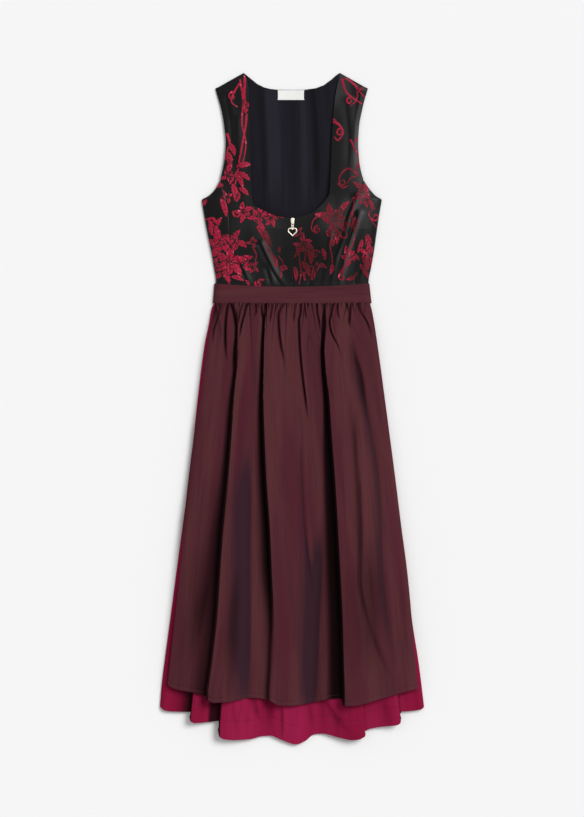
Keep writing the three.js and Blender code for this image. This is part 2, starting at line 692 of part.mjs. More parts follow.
function toManifold(geometry) {
  const bare = geometry.index ? geometry.toNonIndexed() : geometry.clone();
  bare.deleteAttribute("normal");
  bare.deleteAttribute("uv");
  const merged = mergeVertices(bare, 1e-4);
  return new wasm.Manifold(
    new wasm.Mesh({
      numProp: 3,
      vertProperties: merged.attributes.position.array,
      triVerts: new Uint32Array(merged.index.array),
    }),
  );
}

function joined(geometries) {
  const [first, ...others] = geometries.map(toManifold);
  const mesh = others.reduce((sum, solid) => sum.add(solid), first).getMesh();
  const geometry = new THREE.BufferGeometry();
  geometry.setAttribute("position", new THREE.Float32BufferAttribute(mesh.vertProperties, 3));
  geometry.setIndex(Array.from(mesh.triVerts));
  return geometry;
}

// Plate of the slider, seen from above: broad towards the neck, with round corners.
function sliderPlate(thickness, shrink) {
  const half = SLIDER_WIDTH / 2 - shrink;
  const foot = SLIDER_FOOT_WIDTH / 2 - shrink;
  const top = SLIDER_TOP_Y - shrink;
  const bottom = SLIDER_TOP_Y - SLIDER_LENGTH + shrink;
  const shape = new THREE.Shape();
  shape.moveTo(-half, top - 4);
  shape.quadraticCurveTo(-foot, (top + bottom) / 2, -foot, bottom + 1.2);
  shape.quadraticCurveTo(-foot, bottom, -foot + 1.4, bottom);
  shape.lineTo(foot - 1.4, bottom);
  shape.quadraticCurveTo(foot, bottom, foot, bottom + 1.2);
  shape.quadraticCurveTo(foot, (top + bottom) / 2, half, top - 4);
  shape.quadraticCurveTo(half, top, 0, top);
  shape.quadraticCurveTo(-half, top, -half, top - 4);
  return new THREE.ExtrudeGeometry(shape, { depth: thickness, bevelEnabled: false, curveSegments: 4 });
}

const clothAtSlider = Math.max(bodiceTop(SLIT_HALF, SLIDER_TOP_Y), bodiceTop(SLIT_HALF, 128));
const plateBottom = clothAtSlider + GAP;
const plateTop = plateBottom + SLIDER_PLATE;
const pinHeight = plateTop + PIN_OVER_PLATE;

function zipSlider() {
  const upper = sliderPlate(SLIDER_PLATE, 0).translate(0, 0, plateBottom);
  const lowerTop = tapeTop(TAPE_TOP_Y) - TAPE_WALL - 2 * GAP;
  const lower = sliderPlate(SLIDER_LOWER_PLATE, 0.6).translate(0, 0, lowerTop - SLIDER_LOWER_PLATE);
  const postHeight = plateBottom + SLIDER_PLATE / 2 - (lowerTop - SLIDER_LOWER_PLATE / 2);
  const post = new THREE.BoxGeometry(SLIDER_POST, SLIDER_POST, postHeight).translate(
    0,
    SLIDER_TOP_Y - SLIDER_POST,
    plateBottom + SLIDER_PLATE / 2 - postHeight / 2,
  );
  // The bridge is an arch along the slider, over the pull's pin.
  const foot = BRIDGE_HOLE / 2 + BRIDGE_WALL;
  const rise = BRIDGE_HOLE + BRIDGE_WALL;
  const arch = new THREE.Shape();
  arch.moveTo(-foot - 0.6, -0.4);
  arch.quadraticCurveTo(-foot, rise, 0, rise);
  arch.quadraticCurveTo(foot, rise, foot + 0.6, -0.4);
  arch.lineTo(BRIDGE_HOLE / 2, -0.4);
  arch.quadraticCurveTo(BRIDGE_HOLE / 2, BRIDGE_HOLE, 0, BRIDGE_HOLE);
  arch.quadraticCurveTo(-BRIDGE_HOLE / 2, BRIDGE_HOLE, -BRIDGE_HOLE / 2, -0.4);
  const bridge = new THREE.ExtrudeGeometry(arch, {
    depth: BRIDGE_WIDTH,
    bevelEnabled: false,
    curveSegments: 6,
  });
  bridge.rotateX(Math.PI / 2).rotateZ(Math.PI / 2);
  bridge.translate(-BRIDGE_WIDTH / 2, PIN_Y, plateTop);
  return piece("zip_slider", joined([upper, lower, post, bridge]), gold);
}

// Outline of the heart, its notch towards the hinge. Shrink moves the outline inwards.
function heartPath(path, shrink) {
  const half = HEART_WIDTH / 2 - shrink;
  const top = -HEART_TOP - shrink;
  const notch = -HEART_TOP - HEART_NOTCH - shrink * 0.9;
  const tip = -HEART_TOP - HEART_LENGTH + shrink * 1.35;
  const shoulder = top - HEART_LENGTH * 0.3 + shrink * 0.2;
  path.moveTo(0, tip);
  path.bezierCurveTo(half * 0.45, tip + 5.4, half, shoulder - 4.4, half, shoulder);
  path.bezierCurveTo(half, top - 0.6, half * 0.72, top, half * 0.5, top);
  path.bezierCurveTo(half * 0.25, top, 0.3, notch + 1.2, 0, notch);
  path.bezierCurveTo(-0.3, notch + 1.2, -half * 0.25, top, -half * 0.5, top);
  path.bezierCurveTo(-half * 0.72, top, -half, top - 0.6, -half, shoulder);
  path.bezierCurveTo(-half, shoulder - 4.4, -half * 0.45, tip + 5.4, 0, tip);
  return path;
}

// The pull in its own frame: hinge pin along X through the origin, heart towards -Y.
function zipPull() {
  const armX = BRIDGE_WIDTH / 2 + ARM_FROM_BRIDGE + ROD / 2;
  const pin = new THREE.CylinderGeometry(PIN_RADIUS, PIN_RADIUS, 2 * armX, 12).rotateZ(Math.PI / 2);
  const arms = [-1, 1].map((side) =>
    new THREE.BoxGeometry(ROD, ARM_LENGTH + PIN_RADIUS, ROD).translate(
      side * armX,
      (PIN_RADIUS - ARM_LENGTH) / 2,
      0,
    ),
  );
  const bar = new THREE.BoxGeometry(2 * armX + ROD, ROD, ROD).translate(0, -ARM_LENGTH, 0);
  const eyeY = -ARM_LENGTH - EYE_RADIUS;
  const eye = new THREE.Shape();
  eye.absarc(0, eyeY, EYE_RADIUS, 0, 2 * Math.PI, false);
  const eyeHole = new THREE.Path();
  eyeHole.absarc(0, eyeY, EYE_HOLE, 0, 2 * Math.PI, true);
  eye.holes.push(eyeHole);
  const flat = { depth: PULL_WALL, bevelEnabled: false, curveSegments: 7 };
  const ring = new THREE.ExtrudeGeometry(eye, { ...flat, depth: RING_WALL }).translate(0, 0, -RING_WALL / 2);
  const peg = new THREE.BoxGeometry(PEG_WIDTH, PEG_LENGTH, RING_WALL).translate(
    0,
    eyeY - EYE_HOLE - PEG_LENGTH / 2,
    0,
  );
  const outline = heartPath(new THREE.Shape(), 0);
  outline.holes.push(heartPath(new THREE.Path(), HEART_RIM));
  const heart = new THREE.ExtrudeGeometry(outline, flat).translate(0, 0, -PULL_WALL / 2);
  const pull = piece("zip_pull", joined([pin, ...arms, bar, ring, peg, heart]), gold);
  // At rest the tip of the heart lies on the cloth.
  const reach = HEART_TOP + HEART_LENGTH;
  const tipHeight = bodiceTop(SLIT_HALF, PIN_Y - reach) + PULL_OVER_CLOTH + PULL_WALL / 2;
  pull.position.set(0, PIN_Y, pinHeight);
  pull.rotation.x = Math.asin((pinHeight - tipHeight) / reach);
  return pull;
}

// Apron band

function bandEdges(y) {
  const share = clamp((BAND_TOP_Y - y) / (BAND_TOP_Y - BAND_BOTTOM_Y), 0, 1);
  return { left: lerp(-164, -167.4, share), right: lerp(163.2, 166, share) };
}

function bandGrid(across, height) {
  return [0, 0.5, 1].map((down) =>
    across.map((share) => {
      const centred = 2 * share - 1;
      const sag = 1 - centred * centred;
      const y = lerp(BAND_TOP_Y - BAND_TOP_SAG * sag, BAND_BOTTOM_Y - BAND_BOTTOM_SAG * sag, down);
      const edges = bandEdges(y);
      const x = lerp(edges.left, edges.right, share);
      return new THREE.Vector3(x, y, height(x, y, edges));
    }),
  );
}

function apronBand() {
  const near = [0, 0.0025, 0.009, 0.022, 0.045, 0.075];
  const middle = [0.12, 0.2, 0.3, 0.4, 0.5, 0.6, 0.7, 0.8, 0.88];
  const across = [...near, ...middle, ...near.map((share) => 1 - share).reverse()];
  const outer = bandGrid(across, (x, y, edges) => {
    const fromEnd = Math.min(x - edges.left, edges.right - x);
    return lerp(RIM, BAND_HEIGHT, ellipseRise(fromEnd, BAND_ROUND));
  });
  const rims = { left: true, right: true };
  return piece("apron_band", wallGeometry(outer, inset(outer, BAND_WALL, rims)), taffeta);
}

function apronBandBack() {
  const top = bandGrid([0, 0.25, 0.5, 0.75, 1], () => WALL);
  return piece("apron_band_back", flatWall(top, WALL), taffeta);
}

// Skirt and apron panel

// Curl of one fold across the cloth: its direction turns up to the fold's angle and back again.
function foldCurve(run, turn) {
  const finer = 12;
  const steps = FOLD_STEPS * finer;
  const points = [{ x: 0, z: 0 }];
  let x = 0;
  let z = 0;
  for (let i = 1; i <= steps; i += 1) {
    const angle = turn * Math.sin((Math.PI * (i - 0.5)) / steps) ** 2;
    x += (Math.cos(angle) * run) / steps;
    z += (Math.sin(angle) * run) / steps;
    if (i % finer === 0) points.push({ x, z });
  }
  return points.map((point) => ({ x: point.x - x / 2, z: point.z }));
}

// How far a raised fold edge still lifts the cloth at a distance from it.
function shoulderLift(distance, length) {
  return Math.exp(-((distance / length) ** 2));
}

function skirtFoldX(fold, y) {
  return lerp(fold.xWaist, fold.xHem, clamp(y / SKIRT_FOLD_HEM_Y, 0, 1));
}

function skirtFoldShape(fold, y) {
  const growth = smoothstep(-y, -SKIRT_FOLD_START_Y, -SKIRT_FOLD_FULL_Y);
  return foldCurve(fold.run, degToRad(fold.turn) * growth);
}

// Skirt front without its folds.
function skirtCrownTop(x, y, troughs = skirtTroughs) {
  const edges = edgesAt(skirtOutline, y);
  const fromSide = Math.min(x - edges.left, edges.right - x);
  const crown = read(skirtCrown, "y", y, "height") - troughDepth(troughs, x, y);
  return lerp(backLift(y) + RIM, crown, ellipseRise(fromSide, read(skirtCrown, "y", y, "round")));
}

// Even cover over the skirt front and its folds, which the apron lies on. It spans the skirt's own troughs.
const skirtRidges = skirtTroughs.filter((trough) => trough.depth < 0);

function skirtCover(x, y) {
  const lifts = skirtFolds.map((fold) => {
    const rise = skirtFoldShape(fold, y)[FOLD_STEPS].z;
    return rise * shoulderLift(x - skirtFoldX(fold, y), FOLD_SHOULDER);
  });
  return skirtCrownTop(x, y, skirtRidges) + Math.max(...lifts);
}

// Columns of a panel from left to right: stretches between folds, and the steps of each fold.
// A column knows its share of the stretch or its step in the fold, and the y of its hem.
function panelColumns(hem, spanColumns, roundEdges) {
  const columns = [];
  hem.forEach((line, span) => {
    const first = line[0];
    const last = line[line.length - 1];
    const count = spanColumns[span];
    const addSpanColumn = (share) => {
      const x = lerp(first.x, last.x, share);
      columns.push({ span, share, hemY: read(line, "x", x, "y") });
    };
    const edge = roundEdges / Math.abs(last.x - first.x);
    const leftEdge = span === 0 ? edge : 0;
    const rightEdge = span === hem.length - 1 ? edge : 0;
    if (leftEdge) edgeShares.forEach((share) => addSpanColumn(share * leftEdge));
    for (let i = 0; i <= count; i += 1) {
      const skipsFirst = i === 0 && !leftEdge;
      const skipsLast = i === count && !rightEdge;
      if (!skipsFirst && !skipsLast) addSpanColumn(lerp(leftEdge, 1 - rightEdge, i / count));
    }
    if (rightEdge) [...edgeShares].reverse().forEach((share) => addSpanColumn(1 - share * rightEdge));
    if (span < hem.length - 1) {
      const next = hem[span + 1][0];
      for (let step = 0; step <= FOLD_STEPS; step += 1) {
        columns.push({ fold: span, step, hemY: lerp(last.y, next.y, smoothstep(step / FOLD_STEPS, 0.2, 0.8)) });
      }
    }
  });
  return columns;
}

// One column's point on one section of a panel.
function panelPoint(panel, column, y) {
  const foldAt = (number) => {
    const fold = panel.folds[number];
    const shape = panel.foldShape(fold, y);
    const curve = fold.rises > 0 ? shape : shape.map((p) => ({ x: -p.x, z: p.z })).reverse();
    return { x: panel.foldX(fold, y), curve };
  };
  if (column.fold !== undefined) {
    const fold = foldAt(column.fold);
    const point = fold.curve[column.step];
    const x = fold.x + point.x;
    return { x, z: panel.base(x, y) + point.z };
  }
  const edges = panel.edges(y);
  const before = column.span > 0 ? foldAt(column.span - 1) : null;
  const after = column.span < panel.folds.length ? foldAt(column.span) : null;
  const startX = before ? before.x + before.curve[FOLD_STEPS].x : edges.left;
  const endX = after ? after.x + after.curve[0].x : edges.right;
  const x = lerp(startX, endX, column.share);
  const shoulder = Math.min(panel.shoulder, (endX - startX) * SHOULDER_SHARE);
  let z = panel.base(x, y);
  if (before) z += before.curve[FOLD_STEPS].z * shoulderLift(x - startX, shoulder);
  if (after) z += after.curve[0].z * shoulderLift(endX - x, shoulder);
  return { x, z };
}

// Grid of a panel: one section for each row share, from its upper edge to its hem.
function panelGrid(panel, columns, rowShares) {
  return rowShares.map((share) =>
    columns.map((column, number) => {
      const topY = panel.topY(column, number, columns.length);
      const y = lerp(topY, column.hemY, share);
      const point = panelPoint(panel, column, y);
      const gather = panel.gather ? panel.gather(number, topY - y) : 0;
      return new THREE.Vector3(point.x, y, point.z + gather);
    }),
  );
}

function skirtFront() {
  const panel = {
    folds: skirtFolds,
    foldShape: skirtFoldShape,
    foldX: skirtFoldX,
    edges: (y) => edgesAt(skirtOutline, y),
    base: skirtCrownTop,
    shoulder: FOLD_SHOULDER,
    topY: () => WAIST_SEAM_Y - GAP,
  };
  const columns = panelColumns(skirtHem, SKIRT_SPAN_COLUMNS, EDGE_ROUND);
  const outer = panelGrid(panel, columns, skirtRows);
  const rims = { left: true, right: true };
  return piece("skirt_front", wallGeometry(outer, inset(outer, WALL, rims)), skirtCloth);
}

function skirtBack() {
  const shares = [0, 0.05, 0.14, 0.23, 0.32, 0.41, 0.5, 0.59, 0.68, 0.77, 0.86, 0.95, 1];
  const hemLeft = skirtBackHem[0].x;
  const hemRight = skirtBackHem[skirtBackHem.length - 1].x;
  const top = skirtRows.map((down) =>
    shares.map((share) => {
      const hemY = read(skirtBackHem, "x", lerp(hemLeft, hemRight, share), "y");
      const y = lerp(WAIST_SEAM_Y - GAP, hemY, down);
      const edges = edgesAt(skirtOutline, y);
      return new THREE.Vector3(lerp(edges.left, edges.right, share), y, backLift(y) + WALL);
    }),
  );
  return piece("skirt_back", flatWall(top, WALL), skirtCloth);
}

function apronFoldShape(fold, y) {
  const growth = smoothstep(-y, -fold.startY, -fold.fullY);
  return foldCurve(fold.run, degToRad(fold.turn) * growth);
}

// The apron lies on the skirt's cover, moved out square to it, with some air for its own troughs.
function apronBase(x, y) {
  const reach = 1.5;
  const slope = (skirtCover(x + reach, y) - skirtCover(x - reach, y)) / (2 * reach);
  const square = Math.sqrt(1 + slope * slope);
  const air = APRON_LIFT * smoothstep(-y, 40, 110) - troughDepth(apronTroughs, x, y);
  return skirtCover(x, y) + (WALL + GAP) * square + Math.max(0, air) + GAP;
}

// Every other column stands up as a gather at the band.
function apronGather(number, below) {
  const uneven = 1 + 0.5 * Math.sin(number * 2.4) + 0.35 * Math.sin(number * 5.1 + 1);
  const swell = SWELL_HEIGHT * Math.exp(-(((below - SWELL_BELOW) / SWELL_LENGTH) ** 2));
  const gather = number % 2 ? GATHER_HEIGHT * Math.exp(-below / GATHER_LENGTH) * uneven : 0;
  return gather + swell;
}

function apronPanel() {
  const panel = {
    folds: apronFolds,
    foldShape: apronFoldShape,
    foldX: (fold, y) => read(apronPaths, "y", y, fold.name),
    edges: (y) => edgesAt(apronPaths, y),
    base: apronBase,
    shoulder: APRON_FOLD_SHOULDER,
    topY: (column, number, count) => {
      const centred = (2 * number) / (count - 1) - 1;
      return BAND_BOTTOM_Y - BAND_BOTTOM_SAG * (1 - centred * centred) - 2 * GAP;
    },
    gather: apronGather,
  };
  const columns = panelColumns(apronHem, APRON_SPAN_COLUMNS, EDGE_ROUND);
  const outer = panelGrid(panel, columns, apronRows);
  return piece("apron_panel", wallGeometry(outer, inset(outer, WALL)), taffeta);
}

// The whole dress
const dress = new THREE.Group();
dress.add(
  bodiceBack(),
  backLining(),
  neckLabel(),
  centreFront("front_centre_left", centreFrontLeft, -1),
  centreFront("front_centre_right", centreFrontRight, 1),
  sideFront("front_side_left", centreFrontLeft, -1),
  sideFront("front_side_right", centreFrontRight, 1),
  zipTapePiece(),
  zipSlider(),
  zipPull(),
  apronBand(),
  apronBandBack(),
  skirtFront(),
  skirtBack(),
  apronPanel(),
);

dress.updateMatrixWorld(true);
const box = new THREE.Box3().setFromObject(dress);
const centre = box.getCenter(new THREE.Vector3());
dress.position.set(-centre.x, -centre.y, -box.min.z);

export default dress;
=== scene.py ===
import bpy
import numpy as np
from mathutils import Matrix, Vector
from mathutils.bvhtree import BVHTree


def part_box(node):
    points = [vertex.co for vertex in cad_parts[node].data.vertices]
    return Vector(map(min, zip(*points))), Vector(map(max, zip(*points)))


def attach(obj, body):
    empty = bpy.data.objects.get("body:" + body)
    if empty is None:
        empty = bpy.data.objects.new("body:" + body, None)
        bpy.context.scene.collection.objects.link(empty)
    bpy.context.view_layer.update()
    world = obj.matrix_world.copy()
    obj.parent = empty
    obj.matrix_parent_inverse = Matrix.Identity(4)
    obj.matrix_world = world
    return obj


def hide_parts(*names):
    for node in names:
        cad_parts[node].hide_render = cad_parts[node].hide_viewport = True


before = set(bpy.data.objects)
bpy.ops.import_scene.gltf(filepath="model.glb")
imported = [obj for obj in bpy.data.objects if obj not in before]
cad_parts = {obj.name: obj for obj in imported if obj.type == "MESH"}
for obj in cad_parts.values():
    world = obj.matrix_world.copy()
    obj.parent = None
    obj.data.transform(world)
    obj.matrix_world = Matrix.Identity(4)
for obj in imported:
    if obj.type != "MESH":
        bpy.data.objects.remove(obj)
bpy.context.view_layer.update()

# Cloth
WALL = 1.5  # outer cloth with its backing, as the solids have it
GAP = 0.3  # between layers that lie on each other
LINING_WALL = 1.0
RIM = WALL + GAP  # height at which a front meets the back along a side seam
LABEL_WALL = 1.0
TURNED = 1.0  # thickness of a turned edge
LIP_OUT = 0.35  # how far the rounding of a turned edge stands out
LIP_DEPTH = 0.25
LIP_ROWS = 2
UNDER_ROWS = 3
SEAM_DEPTH = 0.8  # groove along a seam of the bodice
SEAM_WIDTH = 1.6
UNEVEN_CLOTH = 0.35

# Waist
WAIST_SEAM_Y = -17
WAIST_HEIGHT = 10
BAND_TOP_Y = 5
BAND_TOP_SAG = 7
BAND_BOTTOM_Y = -35.5
BAND_BOTTOM_SAG = 1.5
BAND_HEIGHT = 12.7
BAND_ROUND = 17
BAND_LEFT_X = (-164, -167.4)  # at its top and at its bottom
BAND_RIGHT_X = (161.4, 166)
BAND_CLEAR_TOP_Y = 10
BAND_CLEAR_BOTTOM_Y = -40
LIFT_TOP_Y = 38
LIFT_BOTTOM_Y = -70

# Neck: lining and label
LINING_LEFT_X = -99
LINING_RIGHT_X = 95
LINING_BOTTOM_Y = 122
LINING_BELOW_NECK = 1.2
LABEL_LEFT_X = -30.4
LABEL_RIGHT_X = 23.6
LABEL_TOP_Y = 410.6
LABEL_BOTTOM_Y = 390.8

# Zip and slider
SLIT_HALF = 1.8
TAPE_TOP_Y = 137
TAPE_BOTTOM_Y = -14
TAPE_HALF = 12
TOOTH_TOP_Y = 131
TOOTH_PITCH = 2.4
TOOTH_HALF = 0.55
TEETH_BELOW_CLOTH = 0.3
SLIDER_TOP_Y = 142.6
SLIDER_LENGTH = 14.3
SLIDER_WIDTH = 7.6
SLIDER_FOOT_WIDTH = 6
SLIDER_PLATE = 1.6
SLIDER_LOW_Y = 128.0  # lowest place where the plate lies over the fronts
PIN_OVER_PLATE = 1.3
PIN_Y = 131.2
PULL_WALL = 1.8
PULL_OVER_CLOTH = 0.5
ARM_X = 2.1
ARM_LENGTH = 4.6
EYE_Y = -7.4  # from the pin, as the heart's sizes are
EYE_RING = 2.2
HEART_WIDTH = 19.8
HEART_LENGTH = 18.7
HEART_WIRE = 1.15
HEART_TOP = 9.6
HEART_NOTCH = 2.3

slider_low, slider_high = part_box("zip_slider")
ORIGIN = np.array([(slider_low[0] + slider_high[0]) / 2, slider_high[1] - SLIDER_TOP_Y / 1000, 0])


def table(names, rows):
    """Named columns of a short table."""
    return dict(zip(names.split(), np.array(rows, float).T))


# Outline of the bodice, from the waist seam up: side seam, then armhole.
bodice_outline = table("y left right", [
    (-17, -160.2, 159.4), (10, -160.6, 159.8), (38, -165, 165), (68, -170, 170.4), (100, -176.6, 175),
    (131, -182.7, 179.4), (157, -187.2, 183.4), (180.6, -190.7, 187.5), (190, -175.2, 173.9),
    (204, -161.4, 161.2), (220, -152.6, 150.4), (235, -148.3, 145), (265, -142.6, 139.5),
    (300, -139.9, 137.6), (335, -143, 139.5), (370, -149.1, 146), (393, -155.6, 151.5),
    (414.1, -161.9, 157.9),
])
ARMHOLE_FOOT_Y = 180.6
LOOSE_EDGE_FROM_FOOT = 36
SIDE_FRONT_ROWS = 11
armhole_edge = table("y height", [(180.6, RIM), (205, 6.5), (260, 7), (350, 5.4), (414, 3.4)])
neck_line = table("x y", [
    (-161.9, 414.1), (-132, 431), (-103.3, 447.1), (-88.6, 435.3), (-74.6, 424), (-60.5, 416.9),
    (-46.4, 413.3), (-30, 411.6), (0, 411.2), (24, 411.6), (49, 414.9), (66, 421.3), (83, 433.9), (92, 442),
    (99.8, 447.1), (128, 431.5), (157.9, 414.1),
])

# Centre fronts, from the shoulder seam down: armhole and princess seam outside,
# strap, neckline and zip inside.
centre_front_left = table("outer_x outer_y inner_x inner_y", [
    (-161.9, 414.1, -103.3, 447.1), (-158.6, 403, -98, 436), (-155.6, 393, -94, 422), (-149.1, 370, -92, 396),
    (-143, 335, -90.8, 348), (-139.9, 300, -89.5, 300), (-142.6, 265, -88.6, 254), (-148.3, 235, -87.6, 215),
    (-151.2, 224, -86.8, 191), (-150.5, 221, -86.4, 187), (-146.5, 204, -83, 171), (-141, 185, -66, 160.5),
    (-137.2, 167, -45, 150.6), (-134.8, 150, -21, 144), (-133.2, 131, -SLIT_HALF, 142),
    (-132.7, 100, -SLIT_HALF, 104), (-132.7, 68, -SLIT_HALF, 70), (-132.7, 38, -SLIT_HALF, 39),
    (-132.7, 10, -SLIT_HALF, 10), (-132.7, -17, -SLIT_HALF, -17),
])
centre_front_right = table("outer_x outer_y inner_x inner_y", [
    (157.9, 414.1, 99.8, 447.1), (154.6, 403, 97.6, 436), (151.5, 393, 94, 420), (146, 370, 89.5, 396),
    (139.5, 335, 85, 348), (137.6, 300, 82.3, 300), (139.5, 265, 80.8, 254), (145, 235, 79.6, 220),
    (148.6, 224, 77.6, 194), (148, 221, 76.4, 191), (144.6, 204, 68.5, 179), (139.6, 185, 55, 164.5),
    (135.8, 167, 37.8, 152.5), (133.4, 150, 18, 144.8), (131.8, 131, SLIT_HALF, 142),
    (131.3, 100, SLIT_HALF, 104), (131.3, 68, SLIT_HALF, 70), (131.3, 38, SLIT_HALF, 39),
    (131.3, 10, SLIT_HALF, 10), (131.3, -17, SLIT_HALF, -17),
])
PRINCESS_TOP_ROW = 8
NECK_CORNER_ROW = 14  # where the neckline meets the zip

bodice_crown = table("y height round", [
    (-17, WAIST_HEIGHT, 26), (8, WAIST_HEIGHT, 26), (40, 12.5, 30), (80, 16, 36), (120, 17, 40),
    (160, 15, 40), (200, 12.5, 34), (250, 10, 28), (320, 8, 24), (390, 7, 20), (447, 6, 16),
])
BUST_X = 82
BUST_Y = 112
BUST_RADIUS = 58
BUST_RISE = 8
BUST_FROM_Y = 6
BUST_FULL_Y = 60
STRAP_X = 90
STRAP_Y = 390
SHOULDER_ROUND = 12

# Soft folds of the fronts: name, points on the way down, width and depth.
bodice_creases = [
    ("right cup, long", [(130, 188), (110, 141), (101, 101), (85, 55), (74, 2)], 7, 5.0),
    ("right cup, short", [(134, 152), (121, 110), (106, 61), (94, 4)], 5.5, 4.0),
    ("right cup, inner", [(76, 108), (70, 70), (58, 2)], 5, 2.6),
    ("left cup, long", [(-70, 88), (-40, 26), (-22, 0)], 6, 3.8),
    ("left cup, short", [(-118, 56), (-94, 6)], 5, 2.6),
    ("left cup, low", [(-56, 38), (-44, 0)], 5, 2.6),
    ("right of the zip", [(46, 40), (34, 0)], 4.5, 2.4),
    ("right side", [(150, 70), (134, 4)], 6, 2.4),
    ("left strap", [(-122, 350), (-118, 240), (-112, 180)], 8, 2.2),
    ("left strap, outside", [(-140, 400), (-130, 330), (-128, 250)], 6, 1.6),
    ("right strap", [(112, 390), (118, 300), (112, 210)], 8, 2.2),
    ("right strap, outside", [(136, 400), (127, 330), (126, 240)], 6, 1.6),
]

# Pleats of the lining, as the creases of the fronts are given. It can't sink far, for it lies on the back.
lining_pleats = [
    ("left", [(-68, 436), (-62, 300), (-58, 130)], 8, 0.7),
    ("left of the middle", [(-38, 430), (-31, 300), (-28, 130)], 14, -0.6),
    ("middle", [(4, 430), (8, 300), (10, 130)], 9, 0.5),
    ("right", [(40, 430), (52, 240), (50, 130)], 11, 0.6),
    ("right ridge", [(24, 430), (29, 300), (30, 130)], 13, -0.5),
]

# Outline of the skirt below the band, and its crown.
skirt_outline = table("y left right", [
    (-17, -160.2, 159.4), (-37, -163.2, 161.8), (-44, -168.6, 164.4), (-80, -175.6, 171.6),
    (-123, -184.4, 178.4), (-239, -199.3, 193.6), (-359, -212.2, 210), (-420, -219.4, 217.3),
    (-492, -229.4, 226.2), (-607, -244.7, 241.2), (-698, -256.6, 250.5), (-785, -268.2, 264),
    (-842, -275.1, 271.4), (-884, -278.5, 276.2),
])
skirt_crown = table("y height round", [
    (-17, WAIST_HEIGHT, 26), (-37, WAIST_HEIGHT, 24), (-70, 12, 20), (-240, 12, 16), (-600, 11, 14),
    (-960, 8.5, 12),
])

# Folds of the skirt front: x at the waist and at the hem, the side that lies over the other, its turn and
# run, and the painted shadow in the pocket beside it, with its width, darkness and how sharply it ends.
skirt_folds = [
    dict(x_waist=-118, x_hem=-215.3, rises=1, turn=158, run=17, pocket=26, dark=0.95, ends=2),
    dict(x_waist=-84, x_hem=-152.3, rises=1, turn=168, run=20, pocket=25, dark=1.0, ends=8),
    dict(x_waist=82, x_hem=149.5, rises=-1, turn=162, run=18, pocket=4, dark=0.2, ends=4),
    dict(x_waist=120, x_hem=227, rises=-1, turn=158, run=17, pocket=4, dark=0.4, ends=4),
]
SKIRT_FOLD_START_Y = -260
SKIRT_FOLD_FULL_Y = -780
SKIRT_FOLD_HEM_Y = -930
FOLD_SHOULDER = 52
FOLD_POINTS = 96  # along the curl of a fold
FOLD_HEM_TURNS = 0.31  # share of a fold after which its hem turns down to the side that lies on top
SHOULDER_SHARE = 0.42
skirt_hem = [
    [(-278.5, -880), (-275.6, -886), (-268, -890.8), (-256, -892.8), (-215, -893.6)],
    [(-215, -914), (-207, -916.8), (-190, -916), (-152, -911.8)],
    [(-152, -947), (-144, -950.6), (-124, -952.4), (-92, -951), (-62, -944.4), (-46, -943.6),
     (-24, -952), (8, -961.8), (28, -954), (45, -941), (63, -939.5), (100, -948), (126, -952.6),
     (142, -951), (149.5, -947)],
    [(149.5, -935.6), (160, -929.8), (190, -924.4), (222, -921), (227, -918)],
    [(227, -893), (250, -891.6), (268, -889), (274, -886.6), (276.2, -882)],
]
skirt_back_hem = table("x y", [
    (-278.5, -883), (-262, -888), (-216, -889), (-156, -907), (-120, -932), (-50, -938), (0, -944),
    (56, -934), (120, -934), (156, -926), (215, -914), (234, -889), (262, -887), (276.2, -884),
])
skirt_waves = [
    ("left of the middle", [(-46, -790), (-54, -970)], 15, 4.5),
    ("right of the middle", [(52, -790), (58, -970)], 17, 5),
    ("middle ridge", [(8, -780), (8, -970)], 20, -4),
    ("right ridge", [(118, -800), (122, -970)], 16, -3),
    ("left ridge", [(-112, -800), (-112, -970)], 24, -2.5),
]
skirt_crumples = [
    ("slanting one", [(-34, -840), (-62, -930)], 9, 2.8),
    ("at the seam", [(-27, -870), (-25, -925), (-28, -955)], 6, 3.0),
    ("crossed one", [(58, -860), (112, -940)], 9, 2.6),
    ("upright one", [(98, -860), (88, -955)], 9, 2.4),
    ("far right", [(186, -870), (196, -925)], 11, 2.0),
    ("far left", [(-184, -860), (-192, -915)], 9, 1.8),
    ("slanting ridge", [(-106, -850), (-98, -885), (-84, -920)], 10, -3.4),
    ("right of the ridge", [(-84, -860), (-72, -915)], 7, 2.4),
    ("short one right of the seam", [(28, -870), (42, -935)], 8, 2.2),
    ("far left of the middle", [(-130, -875), (-120, -945)], 8, 2.0),
]

# Apron panel: its side edges and its three deep folds on the way down.
apron_paths = table("y left a b c right", [
    (-37, -162, -119, -57, 68, 163), (-60, -166.5, -117.5, -59, 66.5, 168.4),
    (-139, -181, -117.6, -63.2, 64, 180.6), (-239, -194.3, -126, -64, 74.3, 194.1),
    (-311, -206.2, -130.4, -62, 79.2, 203.6), (-407, -218.6, -137.8, -57.8, 86.3, 216.2),
    (-504, -229, -147.4, -51, 92, 228.2), (-601, -236.8, -154.6, -46.6, 97.2, 240.9),
    (-698, -246.8, -161, -42.6, 101.9, 250.2), (-775, -255.2, -169.5, -45, 104, 256.4),
    (-848, -263, -179.5, -49, 106.3, 263.6),
])
# deep is how dark the painted shadow in the pocket beside each fold is, and pales how much that painted
# shadow pales lower down
apron_folds = [
    dict(path="a", rises=1, turn=132, run=19, start_y=-60, full_y=-300, deep=0.86, pales=0.15, ends=2.4),
    dict(path="b", rises=1, turn=128, run=18, start_y=-30, full_y=-260, deep=1, pales=0.55, ends=2.4),
    dict(path="c", rises=1, turn=136, run=20, start_y=-30, full_y=-240, deep=1, pales=0, ends=5),
]
